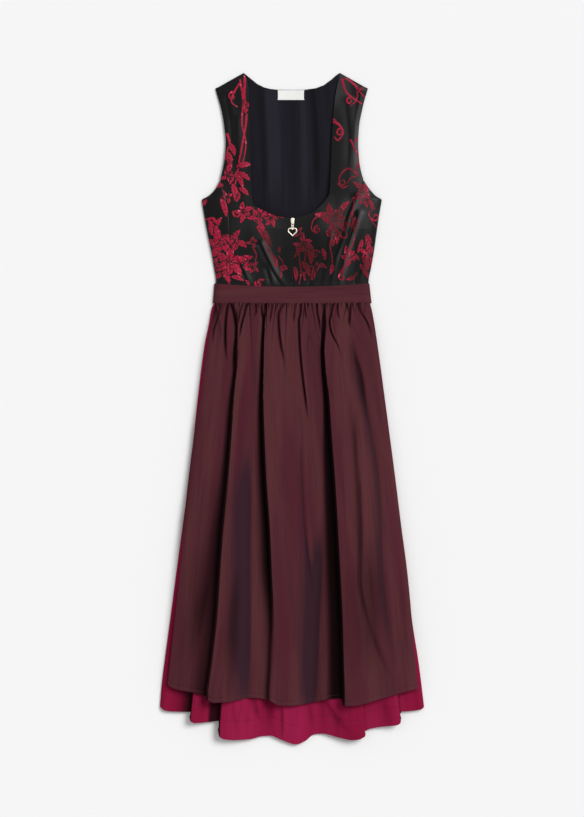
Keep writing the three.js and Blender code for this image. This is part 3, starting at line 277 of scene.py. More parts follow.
# Painted shadow in the pocket on the left of each fold: y, then its width beside each fold.
fold_pockets = table("y a b c", [
    (-37, 3.5, 3, 3.5), (-140, 5, 4, 4.5), (-240, 9, 8, 10), (-400, 18, 16, 21), (-600, 34, 22, 28),
    (-720, 37, 19, 30), (-880, 34, 15, 33),
])
APRON_FOLD_SHOULDER = 60
APRON_LIFT = 4
apron_hem = [
    [(-263, -832), (-259, -840), (-237, -847.4), (-212, -852), (-184, -860)],
    [(-184, -869), (-172, -873.2), (-141, -872), (-110, -867), (-92, -863.6), (-72, -864.4), (-50, -868)],
    [(-50, -870), (-32, -879), (-14, -880.3), (17, -878), (63, -869), (97, -864.4), (106.5, -866.5)],
    [(106.5, -879.7), (126, -880), (164, -871.5), (212, -857.6), (263.6, -844)],
]

# Creases of the apron: name, points on the way down, width and depth. A negative depth is a ridge.
apron_creases = [
    ("right of the middle", [(18.7, -38), (16.7, -58), (13.5, -72), (14, -100), (16, -137), (21, -189),
        (27, -239), (31, -280)], 2.2, 4.2),
    ("lit line of the middle", [(9, -270), (13, -397), (16, -481), (26, -578), (30, -640)], 3, -0.9),
    ("left of the middle line", [(6.2, -38), (3.6, -58), (1.3, -80)], 2, 2.8),
    ("third fold at the band", [(68, -38), (66.6, -58), (67.9, -78), (64.5, -112), (62, -133), (65, -160),
        (66, -200)], 2.6, 4.6),
    ("second fold at the band", [(-65, -40), (-64, -58), (-61.5, -72), (-62, -104), (-62.5, -143),
        (-64, -200)], 1.9, 4.2),
    ("beside the second fold", [(-56.5, -38), (-56, -52), (-58, -65), (-61, -76)], 1.7, 3.6),
    ("first fold at the band", [(-125, -40), (-121, -68), (-118.5, -88), (-119, -106), (-121, -125),
        (-123, -154), (-126, -200)], 2.4, 4.4),
    ("joins the first fold", [(-97, -38), (-100, -55), (-106.4, -80), (-110.5, -99), (-115, -118)], 2, 4.0),
    ("also joins the first fold", [(-106, -40), (-110.3, -55), (-114, -78), (-116, -94)], 1.7, 3.2),
    ("left top", [(-135, -38), (-138, -55), (-140.5, -84), (-141, -110), (-140.5, -137),
        (-139, -160)], 2.6, 4.4),
    ("left edge", [(-147, -38), (-155.6, -58), (-160.5, -76), (-166, -94), (-169, -125)], 2.4, 3.0),
    ("small top", [(-76, -38), (-76.5, -54), (-82, -66)], 2, 3.2),
    ("low middle", [(-41, -38), (-46, -64), (-49, -80)], 1.9, 3.2),
    ("soft middle", [(-19.5, -38), (-27, -53), (-29.5, -62), (-28.9, -84), (-27, -104), (-24, -127),
        (-20, -150), (-18, -175)], 2.5, 3.8),
    ("short middle", [(25, -46), (29, -72)], 2, 2.4),
    ("beside the third", [(50, -38), (52.2, -58), (56, -78), (57.4, -100)], 2, 3.2),
    ("curved right", [(85.5, -38), (81, -59), (77.8, -75), (79.8, -91), (84, -104), (90.3, -116),
        (95.5, -127), (99, -145)], 1.8, 4.2),
    ("short right", [(94.2, -38), (94.5, -54), (98.5, -72)], 1.9, 3.0),
    ("right top", [(122, -40), (120.4, -62), (118.5, -74), (121, -90)], 1.9, 4.0),
    ("right edge", [(137.5, -38), (142.8, -54), (152, -68.5), (160, -86), (166, -110)], 2.2, 3.0),
    ("right crease", [(128, -239), (133, -359), (137, -433), (141, -529), (139, -617), (147, -672),
        (158, -710), (183, -775), (204, -825)], 6.5, 2.4),
    ("left side", [(-172, -210), (-190, -330), (-204, -450)], 7, 1.0),
    ("wide left panel", [(-104, -160), (-108, -330), (-116, -440)], 8, 1.0),
    ("wide right panel", [(96, -230), (104, -420), (112, -600)], 7, 0.8),
    ("lower right", [(222, -560), (232, -700), (236, -840)], 8, 1.2),
    ("upper right side", [(160, -150), (182, -260), (196, -360)], 7, 1.0),
]
# Wide hollows of the apron, which also take a darker, bluish painted sheen.
apron_hollows = [
    ("far right", [(124, -115), (139, -191), (152, -250), (164, -311), (178, -407), (183, -481),
        (185, -578), (193, -672), (206, -780)], 9, 2.2),
    ("middle", [(15, -300), (18, -400), (22, -481), (32, -578), (41, -650)], 5, 1.7),
    ("right line", [(138, -380), (143, -529), (141, -617), (149, -672), (163, -720)], 4, 1.6),
    ("left of the second fold", [(-92, -300), (-97, -450), (-99, -600), (-98, -920)], 19, 4.4),
    ("left of the third fold", [(60, -470), (50, -640), (44, -760), (40, -960)], 18, 4.6),
]
# Darker stretches of the apron, where it sinks away from the light.
apron_dusk = [
    ("upper right", [(122, -85), (127, -104), (130, -132), (134, -152), (142, -178), (148, -209),
        (151, -240), (160, -300)], 8, 3.4),
    ("first panel", [(-176, -430), (-190, -560), (-206, -690), (-222, -790), (-228, -870)], 30, 0.9),
    ("beside the first fold", [(-136, -330), (-152, -500), (-167, -596), (-182, -672), (-196, -750),
        (-206, -830)], 17, 3.5),
    ("second panel", [(-118, -520), (-124, -700), (-132, -890)], 22, 2.9),
    ("last panel", [(150, -470), (160, -620), (166, -870)], 40, 2.6),
]
APRON_HEM = 7
SKIRT_HEM = 37
SKIRT_SEAM_X = -22
SKIRT_SEAM_DEPTH = 0.7
APRON_WEAVE_WIDTH = 420  # width that the weave's streaks are spread over
SKIRT_WEAVE_WIDTH = 480
GROOVE_DEPTH = 0.9
GROOVE_WIDTH = 1.8
# Gathers below the band: each size has its wavelength, height, the length over which it dies out and the
# seed of its uneven steps.
gather_sizes = table("wave height fades seed", [(7.5, 2.0, 13, 3), (13, 2.2, 24, 11), (30, 1.3, 80, 7)])
CREASE_HALF = 0.9
GATHER_DRIFT = 0.3  # how far the gathers lean as they go down
BAND_LENGTH = 330
FADES_IN_BELOW_Y = -50  # creases that start below here fade in at their top too
SHARP_START = 16  # length over which a crease that starts at the band fades in
FADE = 40  # length over which a crease fades out, and more for each millimetre of its width
FADE_FOR_WIDTH = 8
LONGEST_FADE = 0.45  # share of the crease's length
FADE_PAST_END = 0.3  # share of the fade
STARTS_ABOVE = 12
# Section of a crease, in widths of it: its gentle and its steep side, then the ridge beside it.
GENTLE_SIDE = 1.5
STEEP_SIDE = 0.75
RIDGE_SHARE = 0.45  # of the crease's depth
RIDGE_AWAY = 1.6
RIDGE_WIDTH = 1.1
SWELL_HEIGHT = 1.2
SWELL_BELOW = 16
SWELL_LENGTH = 14
# How much painted shade creases, dusk and crumples take for each millimetre of their depth, and how much lies
# along a stitched groove.
CREASE_SHADE = 0.24
DUSK_SHADE = 0.2
CRUMPLE_SHADE = 0.1
STITCH_SHADE = 0.3
FULL_SHEEN_DEPTH = 2.8  # depth of a hollow that takes the whole of the painted sheen


def lerp(first, second, share):
    """A value between two, along a straight line."""
    return first + (second - first) * share


def smooth(value, start, end):
    """0 before the start and 1 after the end, with a soft change between them."""
    share = np.clip((value - start) / (end - start), 0, 1)
    return share * share * (3 - 2 * share)


def read(rows, key, at, name):
    """A named column at a key, along straight lines between its rows."""
    order = np.argsort(rows[key])
    return np.interp(at, rows[key][order], rows[name][order])


def soft_read(rows, key, at, name):
    """A named column at a key, along a smooth line that doesn't swing past its rows."""
    order = np.argsort(rows[key])
    keys, values = rows[key][order], rows[name][order]
    step = np.diff(keys)
    slope = np.diff(values) / step
    product = slope[:-1] * slope[1:]
    total = np.where(product > 0, slope[:-1] + slope[1:], 1)
    inner = np.where(product > 0, 2 * product / total, 0)
    tangent = np.concatenate([slope[:1], inner, slope[-1:]])
    at = np.clip(at, keys[0], keys[-1])
    i = np.clip(np.searchsorted(keys, at, side="right") - 1, 0, len(step) - 1)
    t = (at - keys[i]) / step[i]
    start = values[i] * (1 + 2 * t) * (1 - t) ** 2 + tangent[i] * step[i] * t * (1 - t) ** 2
    end = values[i + 1] * (3 - 2 * t) * t * t + tangent[i + 1] * step[i] * (t - 1) * t * t
    return start + end


def ellipse_rise(distance, radius):
    """0 at an edge, where it stands upright, and 1 from one radius in."""
    short = 1 - np.clip(distance / radius, 0, 1)
    return np.sqrt(np.maximum(0, 1 - short * short))


def crease_depth(creases, x, y):
    """Depth of soft creases that run down the cloth and fade at their two ends.
    The cloth sinks gently from the left and rises steeply to a small ridge on the right."""
    depth = np.zeros_like(x, dtype=float)
    for _, points, width, deepest in creases:
        xs, ys = np.array(points, float).T
        middle = soft_read({"y": -ys, "x": xs}, "y", -y, "x")
        fade_length = min(FADE + FADE_FOR_WIDTH * width, LONGEST_FADE * (ys[0] - ys[-1]))
        fade_in = fade_length if ys[0] < FADES_IN_BELOW_Y else SHARP_START
        fade = smooth(y, ys[-1] - FADE_PAST_END * fade_length, ys[-1] + fade_length)
        fade = fade * smooth(-y, -ys[0] - STARTS_ABOVE, -ys[0] - STARTS_ABOVE + fade_in)
        away = (x - middle) / width
        gentle = np.exp(-np.abs(away / GENTLE_SIDE) ** 1.5)
        trough = np.where(away < 0, gentle, np.exp(-(away / STEEP_SIDE) ** 2))
        ridge = RIDGE_SHARE * np.exp(-(((away - RIDGE_AWAY) / RIDGE_WIDTH) ** 2))
        depth += deepest * fade * (trough - ridge)
    return depth


def back_lift(y):
    """How far the back is raised where it lies on the back of the band."""
    above = np.clip((LIFT_TOP_Y - y) / (LIFT_TOP_Y - BAND_CLEAR_TOP_Y), 0, 1)
    below = np.clip((y - LIFT_BOTTOM_Y) / (BAND_CLEAR_BOTTOM_Y - LIFT_BOTTOM_Y), 0, 1)
    return RIM * np.minimum(above, below)


def uneven(start, end, count, seed, spread=0.35):
    """Places from start to end at uneven steps."""
    steps = 1 + spread * np.random.default_rng(seed).uniform(-1, 1, count)
    return lerp(start, end, np.concatenate([[0], np.cumsum(steps) / steps.sum()]))


def soft_noise(x, y, scale_x, scale_y, seed):
    """Smooth unevenness from -1 to 1, as a sum of a few slanting waves."""
    rng = np.random.default_rng(seed)
    total = np.zeros_like(x, dtype=float)
    for _ in range(6):
        angle = rng.uniform(-0.9, 0.9)
        phase = rng.uniform(0, 2 * np.pi)
        size = rng.uniform(0.6, 1.5)
        slanting = x * np.cos(angle) / scale_x + y * np.sin(angle) / scale_y
        total += np.sin(2 * np.pi * size * slanting + phase)
    return total / 6


def side_edges(outline, y):
    """x of the left and the right side of an outline."""
    return [soft_read(outline, "y", y, side) for side in ("left", "right")]


def graded(*stretches):
    """Places from 0 to 1, closer in some stretches: where each stretch ends, and its number of places."""
    parts, start = [], 0
    for end, count in stretches:
        parts.append(np.linspace(start, end, count))
        start = end
    return np.concatenate([*(part[:-1] for part in parts[:-1]), parts[-1]])


# Meshes


# The axis of a grid that an edge closes, and at which end.
EDGES = {"bottom": (0, -1), "top": (0, 0), "right": (1, -1), "left": (1, 0)}


def linked(name, data):
    """A new object in the scene."""
    item = bpy.data.objects.new(name, data)
    bpy.context.scene.collection.objects.link(item)
    return item


def turn_under(grid, edge):
    """The grid with one edge turned under it, so that the edge shows the thickness of a hem."""
    axis, end = EDGES[edge]
    lying = grid.swapaxes(0, axis)
    if end == 0:
        lying = lying[::-1]
    outwards = lying[-1] - lying[-3]
    outwards /= np.linalg.norm(outwards, axis=1, keepdims=True) + 1e-9
    along = np.gradient(lying[-1], axis=0)
    below = np.cross(outwards, along)
    below /= np.linalg.norm(below, axis=1, keepdims=True) + 1e-9
    below *= np.where(below[:, 2:] > 0, -1, 1)
    lip = [lying[-1] + outwards * LIP_OUT + below * depth for depth in (LIP_DEPTH, TURNED - LIP_DEPTH)]
    under = [lying[-1 - row] + below * TURNED for row in range(UNDER_ROWS)]
    whole = np.concatenate([lying, np.array(lip), np.array(under)])
    if end == 0:
        whole = whole[::-1]
    return whole.swapaxes(0, axis)


def cloth(name, points, look, marks=None, turned=()):
    """A sheet of cloth from a grid of points, rows from neck to hem and columns from left to right."""
    marks = marks or {}
    for edge in turned:
        points = turn_under(points, edge)
        axis, end = EDGES[edge]
        more = LIP_ROWS + UNDER_ROWS
        pad = [(0, 0), (0, 0)]
        pad[axis] = (more, 0) if end == 0 else (0, more)
        marks = {mark: np.pad(values, pad, mode="edge") for mark, values in marks.items()}
    rows, columns = points.shape[:2]
    at = np.arange(rows * columns).reshape(rows, columns)
    quads = np.stack([at[:-1, :-1], at[1:, :-1], at[1:, 1:], at[:-1, 1:]], -1).reshape(-1, 4)
    mesh = bpy.data.meshes.new(name)
    mesh.from_pydata((points.reshape(-1, 3) / 1000 + ORIGIN).tolist(), [], quads.tolist())
    mesh.shade_smooth()
    flat_points = points[..., :2] / 1000
    if "across" in marks:
        flat_points = np.stack([marks["across"], marks["along"]], -1)
    flat = mesh.uv_layers.new(name="flat")
    corners = np.empty(len(mesh.loops), dtype=np.int32)
    mesh.loops.foreach_get("vertex_index", corners)
    flat.data.foreach_set("uv", flat_points.reshape(-1, 2)[corners].ravel())
    for mark, values in marks.items():
        attribute = mesh.attributes.new(mark, "FLOAT", "POINT")
        attribute.data.foreach_set("value", values.ravel())
    mesh.materials.append(look)
    return linked(name, mesh)


def solid_mesh(name, vertices, faces, look):
    """A piece from points in the frame, in metres."""
    mesh = bpy.data.meshes.new(name)
    mesh.from_pydata([tuple(v) for v in vertices], [], faces)
    mesh.shade_smooth()
    mesh.materials.append(look)
    return linked(name, mesh)


def add(vertices, faces, points, own):
    """Add a solid, its points in millimetres, to the points and faces of a piece."""
    faces += [[len(vertices) + corner for corner in face] for face in own]
    vertices += list(np.array(points) / 1000 + ORIGIN)


# Materials


class Look:
    """A node material and the kinds of node that the cloths are made of."""

    def __init__(self, name):
        self.material = bpy.data.materials.new(name)
        self.material.use_nodes = True
        self.tree = self.material.node_tree
        self.shader = self.tree.nodes["Principled BSDF"].inputs

    def feed(self, sockets, inputs):
        """Give sockets their values, or link them to the outputs of other nodes."""
        for name, value in inputs.items():
            if isinstance(value, bpy.types.NodeSocket):
                self.tree.links.new(value, sockets[name])
            else:
                sockets[name].default_value = value

    def node(self, kind, inputs, **settings):
        """The outputs of a new node."""
        node = self.tree.nodes.new("ShaderNode" + kind)
        for name, value in settings.items():
            setattr(node, name, value)
        self.feed(node.inputs, inputs)
        return node.outputs

    def noise(self, scale, stretch, detail=2.0):
        """Noise over the cloth's flat coordinates, in metres, stretched along its length."""
        place = self.node("UVMap", {}, uv_map="flat")
        mapping = self.node("Mapping", {"Scale": (1, 1 / stretch, 1), "Vector": place["UV"]})
        return self.node("TexNoise", {"Scale": scale, "Detail": detail, "Vector": mapping["Vector"]})["Fac"]

    def mixed(self, factor, first, second):
        """A colour between two, by a factor. Colours are values or sockets."""
        first, second = ((*c, 1) if isinstance(c, tuple) else c for c in (first, second))
        return self.node("Mix", {"Factor": factor, 6: first, 7: second}, data_type="RGBA")[2]

    def ranged(self, value, low, high, to_low=0.0, to_high=1.0):
        inputs = {"From Min": low, "From Max": high, "To Min": to_low, "To Max": to_high, "Value": value}
        return self.node("MapRange", inputs, interpolation_type="SMOOTHSTEP")["Result"]

    def marked(self, name):
        return self.node("Attribute", {}, attribute_name=name)["Fac"]

    def calculated(self, operation, *values):
        return self.node("Math", dict(enumerate(values)), operation=operation)["Value"]

    def finished(self, colour, roughness, specular, height, distance):
        """The material, with its surface and a bump from a height."""
        self.feed(self.shader, {"Base Color": colour, "Roughness": roughness, "Specular IOR Level": specular})
        bump = self.node("Bump", {"Distance": distance, "Strength": 1.0, "Height": height})
        self.feed(self.shader, {"Normal": bump["Normal"]})
        return self.material


def grained(name, colour, roughness, specular=0.3, size=0.0012, shade=0.72, depth=0.0001, metallic=0.0):
    """A plain material with a fine grain, its size in metres. Dark grains have a share of the colour."""
    look = Look(name)
    place = look.node("TexCoord", {})["Object"]
    texture = look.node("TexNoise", {"Scale": 1 / size, "Detail": 3, "Vector": place})["Fac"]
    grain = look.ranged(texture, 0.36, 0.62)
    darker = tuple(shade * part for part in colour)
    look.feed(look.shader, {"Metallic": metallic})
    return look.finished(look.mixed(grain, darker, colour), roughness, specular, grain, depth)


def shot_cloth(name, plain, warm, tinted, hazy, dark, roughness):
    """Cloth woven in two colours, with random stripes and patches of other tints, and with painted light:
    painted shading on its slopes to the left, a painted sheen in its wide hollows and painted shade in its
    creases."""
    look = Look(name)
    base = look.mixed(look.ranged(look.noise(16, 9), 0.38, 0.62), plain, warm)
    tints = (
        (look.noise(190, 22, 3), 0.42, 0.74, 0.3, hazy),
        (look.noise(26, 16), 0.5, 0.68, 0.45, tinted),
        # Painted light: shading on slopes that face left, away from the lamp, a painted sheen in hollows and
        # on ridges, and painted shade in creases and folds
        (look.marked("slope"), 0.15, 0.7, 0.8, tinted),
        (look.marked("haze"), 0.05, 1, 0.85, hazy),
        (look.marked("dark"), 0, 1, 0.96, dark),
    )
    for source, low, high, strength, tint in tints:
        base = look.mixed(look.ranged(source, low, high, 0, strength), base, tint)
    return look.finished(base, roughness, 0.03, look.noise(420, 6, 3), 0.00014)


def brocade_cloth():
    """Black satin with figures woven in red. One mark says how far inside a figure a point lies, in
    millimetres, and others where painted light and shade fall on the red and where a painted sheen lies on
    the satin."""
    look = Look("brocade")
    figure = look.ranged(look.marked("figure"), -0.35, 0.35)
    # Painted light and shade on the red, over random patches of tone
    tone_and_painted_light = look.calculated("MULTIPLY_ADD", look.noise(45, 1.4), 0.9, look.marked("bright"))
    shade = look.ranged(tone_and_painted_light, 0.6, 1.5)
    red = look.mixed(shade, BROCADE_RED_DARK, BROCADE_RED)
    # Painted glints on the red, strongest where the painted light is
    glint = look.ranged(look.noise(130, 2, 4), 0.6, 0.7)
    red = look.mixed(look.calculated("MULTIPLY", glint, shade), red, BROCADE_GLINT)
    red = look.mixed(look.ranged(look.noise(240, 1, 4), 0.34, 0.42), SATIN_BLACK, red)
    # Painted sheen on the satin
    sheen = look.ranged(look.noise(14, 2.5), 0.42, 0.68)
    shining = look.calculated("MULTIPLY", sheen, look.marked("sheen"))
    satin = look.mixed(shining, SATIN_BLACK, SATIN_SHEEN)
    satin = look.mixed(look.ranged(look.marked("sheen"), 0.6, 2.2, 0, 0.75), satin, SATIN_SHEEN)
    roughness = look.ranged(figure, 0, 1, 0.38, 0.5)
    grain = look.calculated("MULTIPLY_ADD", look.noise(900, 1, 2), 0.3, figure)
    return look.finished(look.mixed(figure, satin, red), roughness, 0.13, grain, 0.0003)


# SATIN_SHEEN is a painted sheen on the satin, BROCADE_RED_DARK the red in random darker patches and in
# painted shade, and BROCADE_GLINT a painted glint
SATIN_BLACK = (0.0056, 0.0056, 0.0055)
SATIN_SHEEN = (0.055, 0.051, 0.052)
BROCADE_RED = (0.37, 0.009, 0.04)
BROCADE_RED_DARK = (0.1, 0.003, 0.009)
BROCADE_GLINT = (0.75, 0.1, 0.19)
brocade = brocade_cloth()
# The lining's colours give painted shade in its pleats and a lighter painted sheen on their ridges
lining_cloth = shot_cloth("lining", plain=(0.0125, 0.0118, 0.0165), warm=(0.0105, 0.0098, 0.0135),
                          tinted=(0.012, 0.011, 0.016), hazy=(0.02, 0.0185, 0.026),
                          dark=(0.005, 0.0045, 0.006), roughness=0.8)
label_cloth = grained("label", (0.84, 0.84, 0.82), 0.8, shade=0.86)
# The taffeta takes painted shade in creases, folds and on slopes that face left, and a darker, bluish painted
# sheen in its hollows
taffeta = shot_cloth("taffeta", plain=(0.071, 0.0175, 0.0235), warm=(0.084, 0.024, 0.0275),
                     tinted=(0.066, 0.009, 0.02), hazy=(0.025, 0.0105, 0.0175),
                     dark=(0.0022, 0.0007, 0.0009), roughness=0.8)
# The skirt takes a lighter painted sheen on slopes that face left, and painted shade in creases and beside
# folds
skirt_cloth = shot_cloth("skirt_cloth", plain=(0.2, 0.0055, 0.033), warm=(0.27, 0.0105, 0.054),
                         tinted=(0.24, 0.007, 0.04), hazy=(0.16, 0.004, 0.026),
                         dark=(0.012, 0.002, 0.004), roughness=0.75)
gold = grained("gold", (1.0, 0.95, 0.8), 0.28, 0.6, size=0.0006, shade=0.92, depth=0.00001, metallic=0.35)
black_thread = grained("black_thread", (0.0105, 0.0095, 0.0105), 0.6)
teeth_look = grained("teeth", (0.013, 0.012, 0.013), 0.35, 0.4, shade=0.85, depth=0.00002)
skirt_thread = grained("skirt_thread", (0.33, 0.01, 0.062), 0.6)
taffeta_thread = grained("taffeta_thread", (0.12, 0.033, 0.04), 0.6)


# Woven figures of the brocade

# Stems: points on the way and half their width.
brocade_stems = [
    ([(-100, 440), (-101, 395), (-97, 350), (-104, 305), (-112, 262), (-116, 232), (-124, 200)], 2.3),
    ([(-110, 432), (-104, 390), (-106, 340), (-98, 300), (-104, 262), (-120, 236)], 1.7),
    ([(-112, 424), (-124, 404), (-128, 386), (-116, 376)], 1.7),
    ([(-137, 318), (-132, 300), (-138, 278), (-134, 246)], 2.4),
    ([(-183, 134), (-170, 137), (-162, 126), (-156, 108)], 1.3),
    ([(-72, 122), (-58, 98), (-48, 70), (-36, 42)], 3.0),
    ([(-66, 128), (-50, 104), (-44, 84)], 1.4),
    ([(-84, 82), (-76, 66), (-78, 50)], 1.3),
    ([(-29, 62), (-20, 48), (-24, 30)], 1.0),
    ([(18, 96), (14, 60), (18, 30), (14, 4)], 1.6),
    ([(30, 88), (26, 52), (28, 12)], 1.2),
    ([(104, 434), (112, 408), (130, 392), (146, 382)], 2.2),
    ([(112, 436), (132, 422), (144, 404), (152, 396)], 1.6),
    ([(120, 432), (136, 412), (134, 390), (122, 378)], 1.5),
    ([(88, 344), (98, 338), (106, 322), (96, 306), (88, 312)], 2.4),
    ([(122, 306), (130, 290), (138, 272), (138, 250)], 1.9),
    ([(136, 236), (118, 246), (104, 238), (98, 222), (104, 206), (116, 210)], 2.1),
    ([(138, 232), (122, 226), (114, 214)], 1.4),
    ([(146, 208), (130, 182), (128, 156)], 1.4),
    ([(119, 72), (128, 92), (132, 112)], 1.2),
    ([(84, 112), (78, 88), (82, 68), (84, 44)], 1.2),
    ([(172, 158), (160, 148), (166, 132), (176, 118)], 1.1),
    ([(60, 150), (44, 138), (40, 118), (52, 108)], 1.0),
    ([(-146, 52), (-150, 30), (-140, 8)], 1.8),
    ([(-104, 60), (-96, 46), (-104, 38)], 1.2),
]
# Leaves: foot, length, width and direction in degrees.
brocade_leaves = table("x y length width angle", [
    (-102, 392, 34, 13, -84), (-97, 372, 16, 9, 60), (-118, 250, 34, 15, 8), (-114, 238, 30, 14, -34),
    (-120, 236, 34, 15, -62), (-128, 240, 28, 13, -98), (-132, 262, 26, 12, 128), (-134, 300, 30, 15, -64),
    (-138, 282, 34, 18, -80), (-130, 262, 30, 15, -112), (-126, 214, 40, 17, -80), (-146, 214, 20, 10, -140),
    (-112, 206, 26, 13, -40), (92, 346, 18, 12, 160), (150, 384, 22, 10, -70), (134, 404, 20, 9, 40),
    (-150, 178, 40, 17, -74), (-180, 176, 22, 12, -140), (-112, 196, 22, 10, -110),
    (-48, 68, 34, 13, -58), (-40, 150, 24, 10, -18), (-28, 70, 12, 8, 80), (-24, 30, 14, 6, -100),
    (-146, 22, 30, 13, 200), (-128, 20, 28, 12, -20), (-98, 12, 14, 8, -60), (-74, 10, 16, 7, 10),
    (138, 262, 22, 9, -100), (132, 300, 14, 7, 70),
    (150, 206, 26, 13, 150), (154, 190, 28, 14, -120), (146, 178, 22, 10, -60), (126, 158, 20, 9, -110),
    (131, 142, 30, 12, -92), (156, 104, 38, 18, -88), (146, 92, 30, 12, -110), (62, 78, 26, 12, -76),
    (56, 46, 18, 9, -30), (84, 46, 22, 11, -104), (142, 40, 34, 15, -60), (136, 22, 26, 12, 200),
    (150, 30, 26, 14, 60), (34, 70, 22, 9, -60), (12, 76, 20, 9, -120), (22, 30, 20, 8, -80),
    (110, 44, 24, 10, -120), (-160, 118, 24, 12, 60), (-158, 96, 40, 20, 112), (-128, 84, 38, 19, 62),
    (-120, 46, 40, 20, 22), (-148, 30, 34, 18, -62), (80, 150, 34, 17, 178), (98, 150, 36, 17, 52),
    (84, 128, 42, 20, -78), (104, 132, 30, 13, -20), (12, 92, 30, 16, -96), (34, 84, 40, 18, -84),
    (20, 52, 36, 16, -64), (44, 36, 26, 12, -100), (4, 40, 30, 12, -84), (128, 144, 34, 17, -88),
    (-76, 140, 40, 14, -62), (-60, 112, 36, 13, -72), (148, 60, 36, 18, -74), (160, 90, 30, 15, -100),
    (-96, 150, 24, 10, -40), (-60, 156, 34, 13, -16), (142, 196, 30, 14, 30), (160, 176, 24, 11, -70),
])
# Flowers: middle, radius, petals and the direction of the first.
brocade_flowers = table("x y radius petals angle", [
    (-150, 84, 31, 5, 96), (-118, 92, 22, 4, 75), (-133, 48, 30, 6, 20), (-103, 156, 19, 5, 100),
    (-70, 148, 20, 5, 200), (-46, 141, 16, 5, 10), (-84, 92, 12, 4, 90), (-84, 38, 13, 5, 250),
    (88, 140, 27, 6, 60), (82, 104, 17, 3, -90), (119, 60, 19, 5, 110), (24, 88, 20, 5, 30),
    (50, 40, 11, 4, 0), (148, 190, 17, 5, 40), (14, 112, 12, 4, 45), (-136, 186, 13, 4, 20),
    (164, 60, 20, 5, 140), (-166, 40, 16, 5, 60), (-136, 232, 14, 4, 100),
])
# Curls: middle, radius, turns and the direction of the outer end.
brocade_curls = table("x y radius turns angle", [
    (-126, 398, 10, 0.9, 60), (-116, 152, 9, 1.1, 150), (-92, 40, 9, 1.3, 100),
    (-72, 4, 7, 1.1, 150), (120, 388, 8, 1.0, 60), (100, 322, 8, 0.9, 100), (104, 218, 9, 0.9, 200),
    (110, 108, 11, 0.7, 160), (104, 18, 8, 1.1, 90), (174, 140, 9, 1.0, 200), (48, 66, 9, 1.0, 30),
    (-20, 36, 7, 1.1, 0), (52, 118, 8, 1.1, 90), (-170, 130, 9, 1.0, 10),
])
# Where the red turns away from the light: middle, radius and how much it dulls.
dull_spots = table("x y radius amount", [
    (85, 135, 38, 0.6), (28, 60, 48, 0.95), (-48, 80, 40, 0.7), (140, 20, 28, 0.6), (128, 128, 22, 0.5),
    (100, 240, 60, 0.4), (-160, 40, 26, 0.3),
])
VEIN_HALF = 0.65
OUTLINE_HALF = 1.0
PETAL_WIDTH = 0.72
CURL_HALF = 1.7
LEAF_LOBE = 7.0  # a leaf's edge waves once in so many millimetres
FAR = 50.0  # stands for a point with no figure or line near it


class Figures:
    """How far points lie inside the woven figures, and outside the fine black lines in them."""

    def __init__(self, x, y):
        self.x, self.y = x, y
        self.inside = np.full_like(x, -FAR)
        self.line = np.full_like(x, FAR)

    def local(self, x, y, angle):
        """The points as seen from a place: along a direction, and to its side."""
        across, up = self.x - x, self.y - y
        return across * np.cos(angle) + up * np.sin(angle), up * np.cos(angle) - across * np.sin(angle)

    def leaf(self, x, y, length, width, angle, lobe=LEAF_LOBE):
        """A pointed leaf with a toothed edge, a fine black outline, a rib and side veins."""
        along, side = self.local(x, y, angle)
        bend = 0.16 * width * np.sin(np.pi * along / length)
        side = side - bend
        share = np.clip(along / length, 0, 1)
        tooth = (along / lobe + 0.2 * np.sign(side)) % 1
        half = width / 2 * (share ** 0.6 * (1 - share) ** 0.85 * 2.05) * (0.74 + 0.42 * tooth)
        past = np.hypot(np.maximum(-along, along - length), side)
        reach = np.where((along > 0) & (along < length), half - np.abs(side), -past)
        self.line = np.where(reach > 0, FAR, self.line)
        outline = np.where(self.inside > 0, np.abs(reach) - OUTLINE_HALF, FAR)
        self.inside = np.maximum(self.inside, reach)
        rib = np.abs(side) + 0.02 * along - VEIN_HALF
        side_vein = np.abs((along - 1.4 * np.abs(side)) % (lobe * 0.9) - lobe * 0.45) - VEIN_HALF * 0.8
        vein = np.minimum(rib, np.where(np.abs(side) < half * 0.7, side_vein, FAR))
        veined = (share > 0.12) & (share < 0.8) & (reach > 0)
        self.line = np.minimum(np.where(veined, np.minimum(self.line, vein), self.line), outline)

    def flower(self, x, y, radius, petals, angle):
        """Pointed petals of uneven length around a ring."""
        for petal in range(int(petals)):
            turned = angle + 2 * np.pi * (petal + 0.16 * np.sin(5.1 * petal + x)) / petals
            reach = radius * (1.12 + 0.24 * np.sin(2.4 * petal + 0.7 * x))
            self.leaf(x, y, reach, radius * PETAL_WIDTH, turned, lobe=reach * 0.3)
        ring = np.abs(np.hypot(self.x - x, self.y - y) - radius * 0.2) - VEIN_HALF
        self.line = np.minimum(self.line, ring)

    def stem(self, points, half_width):
        """A band along a smooth path, which gets narrower to its end."""
        path = soft_path(points)
        for number, (start, end) in enumerate(zip(path[:-1], path[1:])):
            step = end - start
            share = ((self.x - start[0]) * step[0] + (self.y - start[1]) * step[1]) / (step @ step)
            share = np.clip(share, 0, 1)
            apart = np.hypot(self.x - start[0] - share * step[0], self.y - start[1] - share * step[1])
            taper = 1.15 - 0.6 * (number + share) / (len(path) - 1)
            self.inside = np.maximum(self.inside, half_width * taper - apart)

    def curl(self, x, y, radius, turns, angle):
        """A stem that winds inwards."""
        share = np.linspace(0, 1, 16)
        bend = angle + 2 * np.pi * turns * share
        size = radius * (1 - 0.75 * share)
        self.stem(list(zip(x + size * np.cos(bend), y + size * np.sin(bend))), CURL_HALF)


